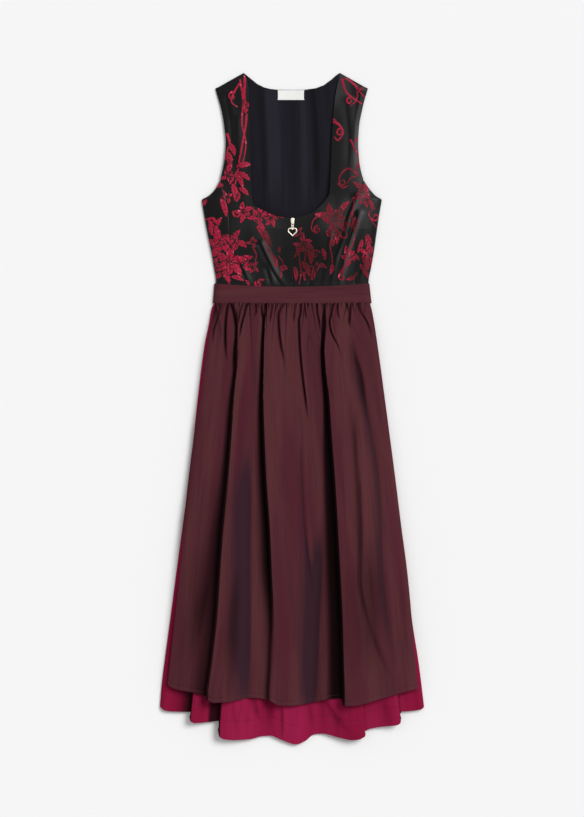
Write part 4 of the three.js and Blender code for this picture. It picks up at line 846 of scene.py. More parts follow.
def soft_path(points, finer=5):
    """A smooth path through points."""
    points = np.array(points, float)
    padded = np.vstack([2 * points[0] - points[1], points, 2 * points[-1] - points[-2]])
    path = []
    for a, b, c, d in zip(padded[:-3], padded[1:-2], padded[2:-1], padded[3:]):
        for t in np.arange(finer) / finer:
            path.append(0.5 * (2 * b + (c - a) * t + (2 * a - 5 * b + 4 * c - d) * t * t
                               + (3 * b - a - 3 * c + d) * t ** 3))
    return np.array(path + [points[-1]])


def woven(grid, shift=(0, 0)):
    """The mark of the figures at the points of a grid, with the repeat shifted on the cloth, and marks of
    painted light on the red and painted sheen on the satin.
    """
    figures = Figures(grid[..., 0].ravel() - shift[0], grid[..., 1].ravel() - shift[1])
    for points, half_width in brocade_stems:
        figures.stem(points, half_width)
    for rows, draw in ((brocade_leaves, figures.leaf), (brocade_flowers, figures.flower),
                       (brocade_curls, figures.curl)):
        for *sizes, angle in zip(*rows.values()):
            draw(*sizes, np.radians(angle))
    figure = np.minimum(figures.inside, figures.line).reshape(grid.shape[:2])
    x, y = grid[..., 0], grid[..., 1]
    # Painted light on the red: dimmer towards the right and in spots that turn away from the light
    bright = 1 - 0.25 * smooth(x, 40, 120)
    for spot_x, spot_y, radius, amount in zip(*dull_spots.values()):
        bright -= amount * np.exp(-((x - spot_x) ** 2 + (y - spot_y) ** 2) / radius ** 2)
    # Painted sheen on the satin: on the lit right cup and on the ridges of folds, less in their troughs
    folds = crease_depth(bodice_creases, x, y)
    lit_cup = 0.5 * smooth(x, 20, 110) * smooth(y, 0, 120)
    sheen = 0.15 + lit_cup - 0.3 * np.maximum(folds, 0) + 0.9 * np.maximum(-folds, 0)
    return {"figure": figure, "bright": bright, "sheen": sheen}


# Bodice


def bodice_top(x, y):
    """Height of the fronts: a crown that rounds off at the sides and the shoulders, with bust and folds."""
    left, right = side_edges(bodice_outline, y)
    from_side = np.minimum(x - left, right - x)
    ellipse = ellipse_rise(from_side, read(bodice_crown, "y", y, "round"))
    loose = smooth(y, ARMHOLE_FOOT_Y, ARMHOLE_FOOT_Y + LOOSE_EDGE_FROM_FOOT)
    edge_rise = lerp(ellipse, ellipse * ellipse, loose)
    edge_height = np.where(y > ARMHOLE_FOOT_Y, read(armhole_edge, "y", y, "height"), back_lift(y) + RIM)
    from_bust = np.hypot(np.abs(x) - BUST_X, y - BUST_Y) / BUST_RADIUS
    bust = BUST_RISE * np.exp(-from_bust * from_bust) * smooth(y, BUST_FROM_Y, BUST_FULL_Y)
    folds = crease_depth(bodice_creases, x, y) + UNEVEN_CLOTH * soft_noise(x, y, 60, 90, 5)
    body = lerp(edge_height, read(bodice_crown, "y", y, "height") + bust - folds, edge_rise)
    from_shoulder = np.interp(x, neck_line["x"], neck_line["y"]) - y
    on_strap = (np.abs(x) > STRAP_X) & (y > STRAP_Y)
    return np.where(on_strap, lerp(RIM, body, ellipse_rise(from_shoulder, SHOULDER_ROUND)), body)


def surface(x, y, height):
    return np.stack([x, y, height(x, y)], -1)


def slit_height(y):
    """Height of the fronts beside the zip."""
    return float(bodice_top(np.array(SLIT_HALF), np.array(y)))


def seam_groove(away):
    return SEAM_DEPTH * np.exp(-((away / SEAM_WIDTH) ** 2))


def row_points(rows, names, at, corner):
    """An edge of a front at row numbers, smooth on either side of its corner."""
    numbers = np.arange(len(rows[names[0]]), dtype=float)
    result = []
    for name in names:
        before = soft_read({"row": numbers[: corner + 1], "v": rows[name][: corner + 1]}, "row", at, "v")
        after = soft_read({"row": numbers[corner:], "v": rows[name][corner:]}, "row", at, "v")
        result.append(np.where(at < corner, before, after))
    return result


def even_rows(xs, ys, count):
    """Row numbers at even steps along an edge."""
    length = np.concatenate([[0], np.cumsum(np.hypot(np.diff(xs), np.diff(ys)))])
    return np.interp(np.linspace(0, length[-1], count), length, np.arange(len(xs)))[:, None]


def centre_front(name, rows, side):
    """A front in one piece with its strap, from the zip to the armhole and the princess seam."""
    at = even_rows(rows["outer_x"], rows["outer_y"], 400)
    outer_x, outer_y = row_points(rows, ("outer_x", "outer_y"), at, PRINCESS_TOP_ROW)
    inner_x, inner_y = row_points(rows, ("inner_x", "inner_y"), at, NECK_CORNER_ROW)
    share = np.linspace(0, 1, 150)[None, :]
    x, y = lerp(outer_x, inner_x, share), lerp(outer_y, inner_y, share)
    grid = surface(x, y, bodice_top)
    from_seam = np.abs(x - outer_x) + 100 * (at < PRINCESS_TOP_ROW)
    grid[..., 2] -= seam_groove(from_seam)
    if side > 0:
        grid = grid[:, ::-1]
    edge = "right" if side < 0 else "left"
    return cloth(name, grid, brocade, woven(grid), turned=[edge, "left" if side < 0 else "right"])


def side_front(name, rows, side):
    """The front from the princess seam to the side seam and the foot of the armhole."""
    outline = {k: bodice_outline[k][:SIDE_FRONT_ROWS][::-1] for k in bodice_outline}
    at = even_rows(outline["left"], outline["y"], 220)
    edge = "left" if side < 0 else "right"
    corner = list(outline["y"]).index(ARMHOLE_FOOT_Y)
    outer_x, outer_y = row_points(outline, (edge, "y"), at, corner)
    princess = {k: rows[k][PRINCESS_TOP_ROW + 1:] for k in rows}
    inner_x, inner_y = row_points(princess, ("outer_x", "outer_y"), at, SIDE_FRONT_ROWS - 2)
    share = np.linspace(0, 1, 60)[None, :] ** 1.4
    x, y = lerp(outer_x, inner_x, share), lerp(outer_y, inner_y, share)
    grid = surface(x, y, bodice_top)
    grid[..., 2] -= seam_groove(np.abs(x - inner_x))
    if side > 0:
        grid = grid[:, ::-1]
    return cloth(name, grid, brocade, woven(grid, (0, 5)))


def back_grid(xs, rows, bottom_y, height):
    """Grid of the back, from its neckline and shoulders down to a level."""
    down = np.linspace(0, 1, rows)[:, None]
    tip_left, tip_right = neck_line["x"][0], neck_line["x"][-1]
    y = lerp(np.interp(xs, neck_line["x"], neck_line["y"])[None, :], bottom_y, down)
    left, right = side_edges(bodice_outline, y)
    x = lerp(left + 1, right - 1, (xs[None, :] - tip_left) / (tip_right - tip_left))
    return surface(x, y, height)


def lining_top(x, y):
    return WALL + GAP + LINING_WALL - crease_depth(lining_pleats, x, y)


def lining():
    xs = np.linspace(LINING_LEFT_X, LINING_RIGHT_X, 150)
    down = np.linspace(0, 1, 120)[:, None]
    y = lerp(soft_read(neck_line, "x", xs, "y")[None, :] - LINING_BELOW_NECK, LINING_BOTTOM_Y, down)
    grid = surface(np.repeat(xs[None, :], 120, 0), y, lining_top)
    pleats = crease_depth(lining_pleats, grid[..., 0], y)
    nothing = np.zeros_like(pleats)
    # Painted shade in the pleats and painted sheen on their ridges
    marks = {"slope": nothing, "dark": np.maximum(0, pleats - 0.1), "haze": np.maximum(0, -1.4 * pleats)}
    return cloth("lining", grid, lining_cloth, marks)


def neck_label():
    x, y = np.meshgrid(np.linspace(LABEL_LEFT_X, LABEL_RIGHT_X, 60),
                       np.linspace(LABEL_TOP_Y, LABEL_BOTTOM_Y, 28))
    grid = surface(x, y, lambda a, b: lining_top(a, b) + GAP + LABEL_WALL)
    return cloth("label", grid, label_cloth, turned=["left", "right", "top", "bottom"])


# Band


def band_grid(height, columns, rows):
    """Grid of the band, which sags a little in the middle."""
    share, down = np.meshgrid(np.linspace(0, 1, columns), np.linspace(0, 1, rows))
    sag = 1 - (2 * share - 1) ** 2
    y = lerp(BAND_TOP_Y - BAND_TOP_SAG * sag, BAND_BOTTOM_Y - BAND_BOTTOM_SAG * sag, down)
    slant = np.clip((BAND_TOP_Y - y) / (BAND_TOP_Y - BAND_BOTTOM_Y), 0, 1)
    left, right = lerp(*BAND_LEFT_X, slant), lerp(*BAND_RIGHT_X, slant)
    x = lerp(left, right, share)
    return np.stack([x, y, height(x, y, np.minimum(x - left, right - x), down)], -1)


def band_marks(grid):
    """Marks of a smooth cloth that is cut along the band, so that its weave lies across."""
    flat = {"across": grid[..., 1] / 1000, "along": grid[..., 0] / 1000}
    nothing = np.zeros_like(grid[..., 0])
    return {"slope": nothing, "dark": nothing, "haze": nothing, **flat}


def band(name, height, columns, rows, turned=()):
    grid = band_grid(height, columns, rows)
    return cloth(name, grid, taffeta, band_marks(grid), turned)


def band_front_height(x, y, from_end, down):
    round_end = lerp(RIM, BAND_HEIGHT, ellipse_rise(from_end, BAND_ROUND))
    ripple = 0.35 * soft_noise(x, y * 3, 70, 60, 21)
    ripple = ripple + 0.3 * soft_noise(x, y, 18, 300, 8) * smooth(down, 0.6, 1)
    return round_end + ripple * ellipse_rise(from_end, BAND_ROUND) - 0.5 * smooth(down, 0.93, 1)


# Panels of skirt and apron


def fold_offsets(fold, turn, step):
    """Points of a fold's curl at steps from 0 to 1, for arrays of its turn in radians."""
    fine = (np.arange(FOLD_POINTS) + 0.5) / FOLD_POINTS
    angle = turn[..., None] * np.sin(np.pi * fine) ** 2
    x = np.cumsum(np.cos(angle), -1) * fold["run"] / FOLD_POINTS
    z = np.cumsum(np.sin(angle), -1) * fold["run"] / FOLD_POINTS
    last = np.clip((step * FOLD_POINTS).astype(int) - 1, 0, FOLD_POINTS - 1)
    place = np.broadcast_to(last[..., None], (*turn.shape, 1))
    at_x, at_z = (np.take_along_axis(path, place, -1)[..., 0] * (step > 0) for path in (x, z))
    return at_x - x[..., -1] / 2, at_z


def fold_point(panel, fold, y, step):
    """A fold's offset from the panel at a step across it, the raised side on the right if it rises."""
    turn = np.radians(fold["turn"]) * panel["growth"](fold, y)
    if fold["rises"] > 0:
        return fold_offsets(fold, turn, step)
    x, z = fold_offsets(fold, turn, 1 - step)
    return -x, z


def panel_grid(panel, rows):
    """Grid of a panel with its deep folds: stretches of cloth between folds, and the steps of each fold."""
    hem = panel["hem"]
    columns = []
    for number, line in enumerate(hem):
        xs, ys = np.array(line, float).T
        shares = np.linspace(0, 1, panel["columns"][number])
        hem_y = soft_read({"x": xs, "y": ys}, "x", lerp(xs[0], xs[-1], shares), "y")
        columns += [("span", number, share, y) for share, y in zip(shares, hem_y)]
        if number < len(hem) - 1:
            steps = np.linspace(0, 1, panel["fold_columns"] + 2)[1:-1]
            next_y = hem[number + 1][0][1]
            if panel["folds"][number]["rises"] > 0:
                shares = smooth(steps, FOLD_HEM_TURNS, 1)
            else:
                shares = 1 - smooth(1 - steps, FOLD_HEM_TURNS, 1)
            hem_y = lerp(ys[-1], next_y, shares)
            columns += [("fold", number, step, y) for step, y in zip(steps, hem_y)]
    across = np.linspace(-1, 1, len(columns))
    top_y = panel["top_y"](across)
    hem_y = np.array([c[3] for c in columns])
    y = lerp(top_y[None, :], hem_y[None, :], rows[:, None])
    x, z = np.zeros_like(y), np.zeros_like(y)
    for number in range(len(hem)):
        own = np.array([c[0] == "span" and c[1] == number for c in columns])
        share = np.array([c[2] for c in columns])[own][None, :]
        here = y[:, own]
        one, nought = np.ones_like(here), np.zeros_like(here)
        start_x, start_z = panel["edge"](here, "left"), 0
        end_x, end_z = panel["edge"](here, "right"), 0
        if number > 0:
            fold = panel["folds"][number - 1]
            offset, start_z = fold_point(panel, fold, here, one)
            start_x = panel["fold_x"](fold, here) + offset
        if number < len(hem) - 1:
            fold = panel["folds"][number]
            offset, end_z = fold_point(panel, fold, here, nought)
            end_x = panel["fold_x"](fold, here) + offset
        x[:, own] = lerp(start_x, end_x, share)
        shoulder = np.minimum(panel["shoulder"], (end_x - start_x) * SHOULDER_SHARE)
        lift = start_z * np.exp(-(((x[:, own] - start_x) / shoulder) ** 2))
        lift = lift + end_z * np.exp(-(((end_x - x[:, own]) / shoulder) ** 2))
        z[:, own] = panel["base"](x[:, own], here) + lift
    for number, fold in enumerate(panel["folds"]):
        own = np.array([c[0] == "fold" and c[1] == number for c in columns])
        step = np.broadcast_to(np.array([c[2] for c in columns])[own][None, :], (len(rows), own.sum()))
        offset, rise = fold_point(panel, fold, y[:, own], step)
        x[:, own] = panel["fold_x"](fold, y[:, own]) + offset
        z[:, own] = panel["base"](x[:, own], y[:, own]) + rise
    return np.stack([x, y, z], -1), top_y


def skirt_crown_top(x, y, creases):
    """Height of the skirt front without its deep folds."""
    left, right = side_edges(skirt_outline, y)
    crown = read(skirt_crown, "y", y, "height") - crease_depth(creases, x, y)
    rise = ellipse_rise(np.minimum(x - left, right - x), read(skirt_crown, "y", y, "round"))
    return lerp(back_lift(y) + RIM, crown, rise)


def skirt_fold_x(fold, y):
    return lerp(fold["x_waist"], fold["x_hem"], np.clip(y / SKIRT_FOLD_HEM_Y, 0, 1))


def skirt_growth(fold, y):
    """How far a fold has turned over, from 0 at its start to 1. The skirt's folds all start alike."""
    return smooth(-y, -SKIRT_FOLD_START_Y, -SKIRT_FOLD_FULL_Y)


skirt_panel = {
    "hem": skirt_hem,
    "columns": [50, 60, 190, 60, 50],
    "fold_columns": 20,
    "folds": skirt_folds,
    "growth": skirt_growth,
    "fold_x": skirt_fold_x,
    "edge": lambda y, side: soft_read(skirt_outline, "y", y, side),
    "base": lambda x, y: skirt_crown_top(x, y, skirt_waves + skirt_crumples),
    "shoulder": FOLD_SHOULDER,
    "top_y": lambda across: np.full_like(across, WAIST_SEAM_Y - GAP),
}


def skirt_cover(x, y):
    """Even cover over the skirt and its folds, which the apron lies on."""
    highest = np.zeros_like(x)
    keys = np.linspace(0, 1, 33)
    for fold in skirt_folds:
        rises = fold_offsets(fold, np.radians(fold["turn"]) * keys, np.ones_like(keys))[1]
        rise = np.interp(skirt_growth(fold, y), keys, rises)
        highest = np.maximum(highest, rise * np.exp(-(((x - skirt_fold_x(fold, y)) / FOLD_SHOULDER) ** 2)))
    return skirt_crown_top(x, y, [wave for wave in skirt_waves if wave[3] < 0]) + highest


def apron_base(x, y):
    """Height of the apron without its deep folds, a little off the skirt and its folds."""
    reach = 1.5
    slope = (skirt_cover(x + reach, y) - skirt_cover(x - reach, y)) / (2 * reach)
    air = APRON_LIFT * smooth(-y, 40, 110) - crease_depth(apron_creases + apron_hollows, x, y)
    return skirt_cover(x, y) + RIM * np.sqrt(1 + slope * slope) + np.maximum(-1.2, air) + GAP


def apron_top_y(across):
    return BAND_BOTTOM_Y - BAND_BOTTOM_SAG * (1 - across * across) + 1.2


apron_panel = {
    "hem": apron_hem,
    "columns": [75, 100, 120, 115],
    "fold_columns": 18,
    "folds": apron_folds,
    "growth": lambda fold, y: smooth(-y, -fold["start_y"], -fold["full_y"]),
    "fold_x": lambda fold, y: soft_read(apron_paths, "y", y, fold["path"]),
    "edge": lambda y, side: soft_read(apron_paths, "y", y, side),
    "base": apron_base,
    "shoulder": APRON_FOLD_SHOULDER,
    "top_y": apron_top_y,
}


def gathers(across, below):
    """Round gathers with sharp creases between them, of several sizes: their height, and the painted shade
    in their creases. Across runs from -1 to 1 along the band."""
    height, dark = np.zeros_like(below), np.zeros_like(below)
    for wave, rise, fades, seed in zip(*gather_sizes.values()):
        places = uneven(-1, 1, int(BAND_LENGTH / wave), int(seed), 0.55)
        random = np.random.default_rng(int(seed) + 1)
        sizes, lengths, leans = (random.uniform(low, 1.25, len(places)) for low in (0.4, 0.4, -1.25))
        lean = GATHER_DRIFT * np.interp(across, places, leans)
        drift = lean * np.minimum(below, 2 * fades) / BAND_LENGTH * 2
        number = np.interp(across + drift, places, np.arange(len(places)))
        fading = np.exp(-below / (fades * np.interp(across, places, lengths)))
        size = np.interp(across, places, sizes) * fading
        puff = np.abs(np.sin(np.pi * number)) ** 0.5
        height += rise * size * (puff - 0.5)
        from_crease = np.abs(number - np.round(number)) * wave
        dark = np.maximum(dark, 1.3 * size * np.exp(-((from_crease / (CREASE_HALF + wave * 0.03)) ** 2)))
    return height, dark


def stitched_groove(grid, hem):
    """Shallow groove where a hem is stitched down, a hem's depth above the bottom row."""
    above_edge = grid[..., 1] - grid[-1, :, 1]
    return GROOVE_DEPTH * np.exp(-(((above_edge - hem) / GROOVE_WIDTH) ** 2))


def pocket(from_fold, width, ends):
    """Painted shadow beside a fold: full as far as the fold, then fading over the pocket's width."""
    return np.exp(-(np.maximum(0, from_fold) / width) ** ends)


def fanned(grid, width):
    """Flat coordinates, in metres, of a panel that spreads from its gathers to its hem."""
    rows, columns = grid.shape[:2]
    across = np.broadcast_to(np.linspace(0, width / 1000, columns), (rows, columns))
    return {"across": across, "along": grid[..., 1] / 1000}


def leftward_slope(grid):
    """How steeply the cloth faces left, from 0 to 1."""
    along = np.gradient(grid, axis=1)
    return along[..., 2] / (np.abs(along[..., 0]) + np.abs(along[..., 2]) + 1e-6)


def apron():
    rows = graded((0.06, 44), (0.2, 44), (0.975, 100), (1, 18))
    grid, top_y = panel_grid(apron_panel, rows)
    below = top_y[None, :] - grid[..., 1]
    across = (grid[2, :, 0] - grid[2, 0, 0]) / (grid[2, -1, 0] - grid[2, 0, 0]) * 2 - 1
    height, dark = gathers(across, below)
    grid[..., 2] += height * smooth(below, -1, 3)
    grid[..., 2] += SWELL_HEIGHT * np.exp(-(((below - SWELL_BELOW) / SWELL_LENGTH) ** 2))
    grid[..., 2] += 0.3 * soft_noise(grid[..., 0], grid[..., 1], 55, 260, 31)
    grid[..., 2] -= stitched_groove(grid, APRON_HEM)
    x, y = grid[..., 0], grid[..., 1]
    # Painted shade in creases and gathers, painted shadow in the pockets beside the folds, painted shade
    # where the apron sinks from the light, and a painted sheen in its hollows
    dark = np.maximum(dark, np.maximum(0, crease_depth(apron_creases, x, y)) * CREASE_SHADE)
    for fold in apron_folds:
        from_fold = apron_panel["fold_x"](fold, y) - x
        width = soft_read(fold_pockets, "y", y, fold["path"])
        inside = pocket(from_fold - 1, width, fold["ends"]) * (from_fold > -3)
        paling = 1 - fold["pales"] * smooth(-y, 560, 800)
        dark = np.maximum(dark, fold["deep"] * inside * smooth(-y, 30, 70) * paling)
    dark = np.maximum(dark, np.maximum(0, crease_depth(apron_dusk, x, y)) * DUSK_SHADE)
    haze = np.maximum(0, crease_depth(apron_hollows, x, y)) / FULL_SHEEN_DEPTH
    marks = {"slope": leftward_slope(grid), "dark": dark, "haze": haze, **fanned(grid, APRON_WEAVE_WIDTH)}
    return cloth("apron", grid, taffeta, marks, turned=["bottom", "left", "right"])


def skirt():
    rows = graded((0.8, 50), (1, 100))
    grid, _ = panel_grid(skirt_panel, rows)
    x, y = grid[..., 0], grid[..., 1]
    seam = SKIRT_SEAM_DEPTH * np.exp(-(((x - SKIRT_SEAM_X) / 1.5) ** 2))
    grid[..., 2] -= stitched_groove(grid, SKIRT_HEM) + seam
    # Painted shade along the stitched groove and the seam, in crumples and in the pockets beside the folds;
    # slopes that face left take a painted sheen
    from_stitches = (y - grid[-1, :, 1] - SKIRT_HEM) / 1.3
    from_seam = (x - SKIRT_SEAM_X) / 1.3
    dark = STITCH_SHADE * np.exp(-np.minimum(np.abs(from_stitches), np.abs(from_seam)) ** 2)
    dark = np.maximum(dark, crease_depth(skirt_crumples, x, y) * CRUMPLE_SHADE)
    for fold in skirt_folds:
        from_fold = (skirt_fold_x(fold, y) - x) * fold["rises"]
        inside = pocket(from_fold - 2, fold["pocket"], fold["ends"])
        dark = np.maximum(dark, np.where(from_fold > 0, fold["dark"] * inside, 0))
    marks = {"slope": leftward_slope(grid), "dark": dark, "haze": np.zeros_like(x),
             **fanned(grid, SKIRT_WEAVE_WIDTH)}
    return cloth("skirt", grid, skirt_cloth, marks, turned=["bottom"])


def skirt_back():
    share, down = np.meshgrid(np.linspace(0, 1, 110), np.linspace(0, 1, 100))
    hem_x = lerp(skirt_back_hem["x"][0], skirt_back_hem["x"][-1], share)
    y = lerp(WAIST_SEAM_Y - GAP, soft_read(skirt_back_hem, "x", hem_x, "y"), down)
    left, right = side_edges(skirt_outline, y)
    x = lerp(left, right, share)
    grid = surface(x, y, lambda a, b: back_lift(b) + WALL)
    return cloth("skirt_rear", grid, skirt_cloth, turned=["bottom"])


def bodice_back():
    xs = np.linspace(neck_line["x"][0], neck_line["x"][-1], 180)
    grid = back_grid(xs, 220, WAIST_SEAM_Y, lambda x, y: back_lift(y) + WALL)
    return cloth("back", grid, brocade, woven(grid, (9, -14)), turned=["top", "left", "right"])


pieces = {
    "bodice_back": bodice_back(),
    "back_lining": lining(),
    "neck_label": neck_label(),
    "front_centre_left": centre_front("front_left", centre_front_left, -1),
    "front_centre_right": centre_front("front_right", centre_front_right, 1),
    "front_side_left": side_front("side_front_left", centre_front_left, -1),
    "front_side_right": side_front("side_front_right", centre_front_right, 1),
    "apron_band": band("band", band_front_height, 420, 44, ["top", "bottom"]),
    "apron_band_back": band("band_back", lambda x, y, a, b: np.full_like(x, WALL), 60, 12),
    "apron_panel": apron(),
    "skirt_front": skirt(),
    "skirt_back": skirt_back(),
}

# Stitches
STITCH_HALF = 0.28
STITCH_DROP = 0.002  # metres; a stitch isn't sewn across a step that is deeper


def stitches(name, cloth_piece, lines, look, pitch, length):
    """Rows of small stitches that lie on a piece, along lines of points on the plan."""
    ground = BVHTree.FromObject(cloth_piece, bpy.context.evaluated_depsgraph_get())
    vertices, faces = [], []
    for line in lines:
        path = np.array(line, float)
        along = np.concatenate([[0], np.cumsum(np.hypot(*np.diff(path, axis=0).T))])
        for start in np.arange(0, along[-1] - length, pitch):
            ends = []
            for reach in (start, start + length / 2, start + length):
                place = Vector([np.interp(reach, along, path[:, k]) / 1000 + ORIGIN[k] for k in (0, 1)] + [1])
                hit = ground.ray_cast(place, Vector((0, 0, -1)))[0]
                if hit is not None:
                    ends.append(hit)
            if len(ends) < 3 or max(abs(a.z - b.z) for a, b in zip(ends, ends[1:])) > STITCH_DROP:
                continue
            step = (ends[2] - ends[0]).normalized()
            aside = Vector((-step.y, step.x, 0)) * STITCH_HALF / 1000
            first = len(vertices)
            for centre, up, wide in ((ends[0], 0.0, 0.4), (ends[1], 0.35, 1), (ends[2], 0.0, 0.4)):
                rise = Vector((0, 0, up / 1000))
                vertices += [centre + aside * wide, centre + rise + aside * wide * 0.5,
                             centre + rise - aside * wide * 0.5, centre - aside * wide]
            for part in (0, 4):
                faces += [[first + part + k, first + part + k + 4, first + part + k + 5, first + part + k + 1]
                          for k in range(3)]
    return solid_mesh(name, vertices, faces, look)


skirt_hem_lines = [[(x, y + SKIRT_HEM) for x, y in soft_path(line)] for line in skirt_hem]
apron_hem_lines = [[(x, y + APRON_HEM) for x, y in soft_path(line)] for line in apron_hem]
placket_lines = [[(x, 134), (x, 70), (x, 7)] for x in (7.5, 14)]
label_lines = [[(x, 409.6), (x, 391.6)] for x in (-29, 22.2)]
# Each row of stitches: the piece that it lies on, its lines, its look, its pitch and length.
sewn = {
    "skirt_hem_stitches": ("skirt_front", skirt_hem_lines, skirt_thread, 3.4, 2.6),
    "apron_hem_stitches": ("apron_panel", apron_hem_lines, taffeta_thread, 3.4, 2.6),
    "placket_stitches": ("front_centre_right", placket_lines, black_thread, 2.6, 2),
    "label_stitches": ("neck_label", label_lines, label_cloth, 2.2, 1.6),
}
threads = {name: stitches(name, pieces[node], *rest) for name, (node, *rest) in sewn.items()}

# Zip


def tape_top(x, y):
    return bodice_top(np.full_like(x, SLIT_HALF), y) - WALL - 3 * GAP


def zip_tape():
    x, y = np.meshgrid(np.linspace(-TAPE_HALF, TAPE_HALF, 25), np.linspace(TAPE_TOP_Y, TAPE_BOTTOM_Y, 120))
    return cloth("tape", surface(x, y, tape_top), black_thread)


def teeth():
    """Two rows of moulded teeth that mesh in the slit."""
    vertices, faces = [], []
    box_faces = [[0, 1, 3, 2], [0, 4, 5, 1], [2, 3, 7, 6], [0, 2, 6, 4], [1, 5, 7, 3], [4, 6, 7, 5]]
    for number, y in enumerate(np.arange(TAPE_BOTTOM_Y + 2, TOOTH_TOP_Y, TOOTH_PITCH / 2)):
        side = 1 if number % 2 else -1
        top = slit_height(y) - TEETH_BELOW_CLOTH
        corners = []
        for z, shrink in ((top - 1.6, 0.0), (top, 0.2)):
            for dy in (-1, 1):
                for x in (-0.5 * side, 1.35 * side - shrink * side):
                    corners.append((x, y + dy * (TOOTH_HALF - shrink / 2), z))
        add(vertices, faces, corners, box_faces)
    return solid_mesh("zip_teeth", vertices, faces, teeth_look)


def tube(points, radius, closed=False, sides=12, flatten=1.0):
    """Points and faces of a round wire along a path, flattened across z."""
    points = np.array(points, float)
    if closed:
        step = np.roll(points, -1, 0) - np.roll(points, 1, 0)
    else:
        step = np.gradient(points, axis=0)
    step /= np.linalg.norm(step, axis=1, keepdims=True)
    up = np.array([0.0, 0.0, 1.0]) if np.abs(step[:, 2]).max() < 0.9 else np.array([1.0, 0.0, 0.0])
    aside = np.cross(step, up)
    aside /= np.linalg.norm(aside, axis=1, keepdims=True)
    over = np.cross(aside, step) * flatten
    turn = np.linspace(0, 2 * np.pi, sides, endpoint=False)[None, :, None]
    rings = points[:, None, :] + radius * (aside[:, None, :] * np.cos(turn) + over[:, None, :] * np.sin(turn))
    count = len(points)
    faces = []
    for i in range(count if closed else count - 1):
        for k in range(sides):
            a, b = i * sides, (i + 1) % count * sides
            faces.append([a + k, b + k, b + (k + 1) % sides, a + (k + 1) % sides])
    if not closed:
        faces += [list(range(sides))[::-1], list(range((count - 1) * sides, count * sides))]
    return rings.reshape(-1, 3), faces


def bezier(start, handle, other, end, count=14):
    """Points of a curve with two handles, without its last."""
    t = np.linspace(0, 1, count, endpoint=False)[:, None]
    start, handle, other, end = (np.array(p, float) for p in (start, handle, other, end))
    return (1 - t) ** 3 * start + 3 * (1 - t) ** 2 * t * handle + 3 * (1 - t) * t * t * other + t ** 3 * end


def heart_line():
    """Middle of the heart's wire, in the pull's own plane, its notch towards the hinge."""
    half = HEART_WIDTH / 2 - HEART_WIRE
    top = -HEART_TOP - HEART_WIRE
    notch = top - HEART_NOTCH
    tip = -HEART_TOP - HEART_LENGTH + HEART_WIRE * 1.5
    shoulder = top - HEART_LENGTH * 0.28
    right = [bezier((0, tip), (half * 0.5, tip + 6), (half, shoulder - 3.6), (half, shoulder)),
             bezier((half, shoulder), (half, top - 0.6), (half * 0.72, top), (half * 0.5, top)),
             bezier((half * 0.5, top), (half * 0.25, top), (0.4, notch + 1.2), (0, notch))]
    right = np.concatenate(right)
    left = right[:0:-1] * [-1, 1]
    line = np.concatenate([right, [[0, notch]], left])
    return np.column_stack([line, np.zeros(len(line))])


def pull_place(points):
    """The pull turned about its pin, so that the heart's tip lies on the cloth."""
    reach = HEART_TOP + HEART_LENGTH
    tip_height = slit_height(PIN_Y - reach) + PULL_OVER_CLOTH + PULL_WALL / 2
    tilt = np.arcsin((pin_height - tip_height) / reach)
    x, y, z = points.T
    return np.column_stack([x, PIN_Y + y * np.cos(tilt) - z * np.sin(tilt),
                            pin_height + y * np.sin(tilt) + z * np.cos(tilt)])


def zip_pull():
    around = np.linspace(0, 2 * np.pi, 28, endpoint=False)
    eye = np.column_stack([EYE_RING * np.cos(around), EYE_Y + EYE_RING * np.sin(around), np.zeros(28)])
    loop = [(-ARM_X, 0, 0), (-ARM_X, -2.4, 0), (-ARM_X, -ARM_LENGTH + 0.5, 0), (-ARM_X + 0.6, -ARM_LENGTH, 0),
            (ARM_X - 0.6, -ARM_LENGTH, 0), (ARM_X, -ARM_LENGTH + 0.5, 0), (ARM_X, -2.4, 0), (ARM_X, 0, 0)]
    peg = [(0, EYE_Y - EYE_RING, 0), (0, -HEART_TOP - HEART_NOTCH - HEART_WIRE, 0)]
    tubes = [tube([(-ARM_X, 0, 0), (ARM_X, 0, 0)], 0.6), tube(loop, 0.55), tube(eye, 0.72, closed=True),
             tube(peg, 0.85, flatten=0.7), tube(heart_line(), HEART_WIRE, closed=True, flatten=0.62)]
    vertices, faces = [], []
    for points, own in tubes:
        add(vertices, faces, pull_place(points), own)
    return solid_mesh("zip_heart", vertices, faces, gold)


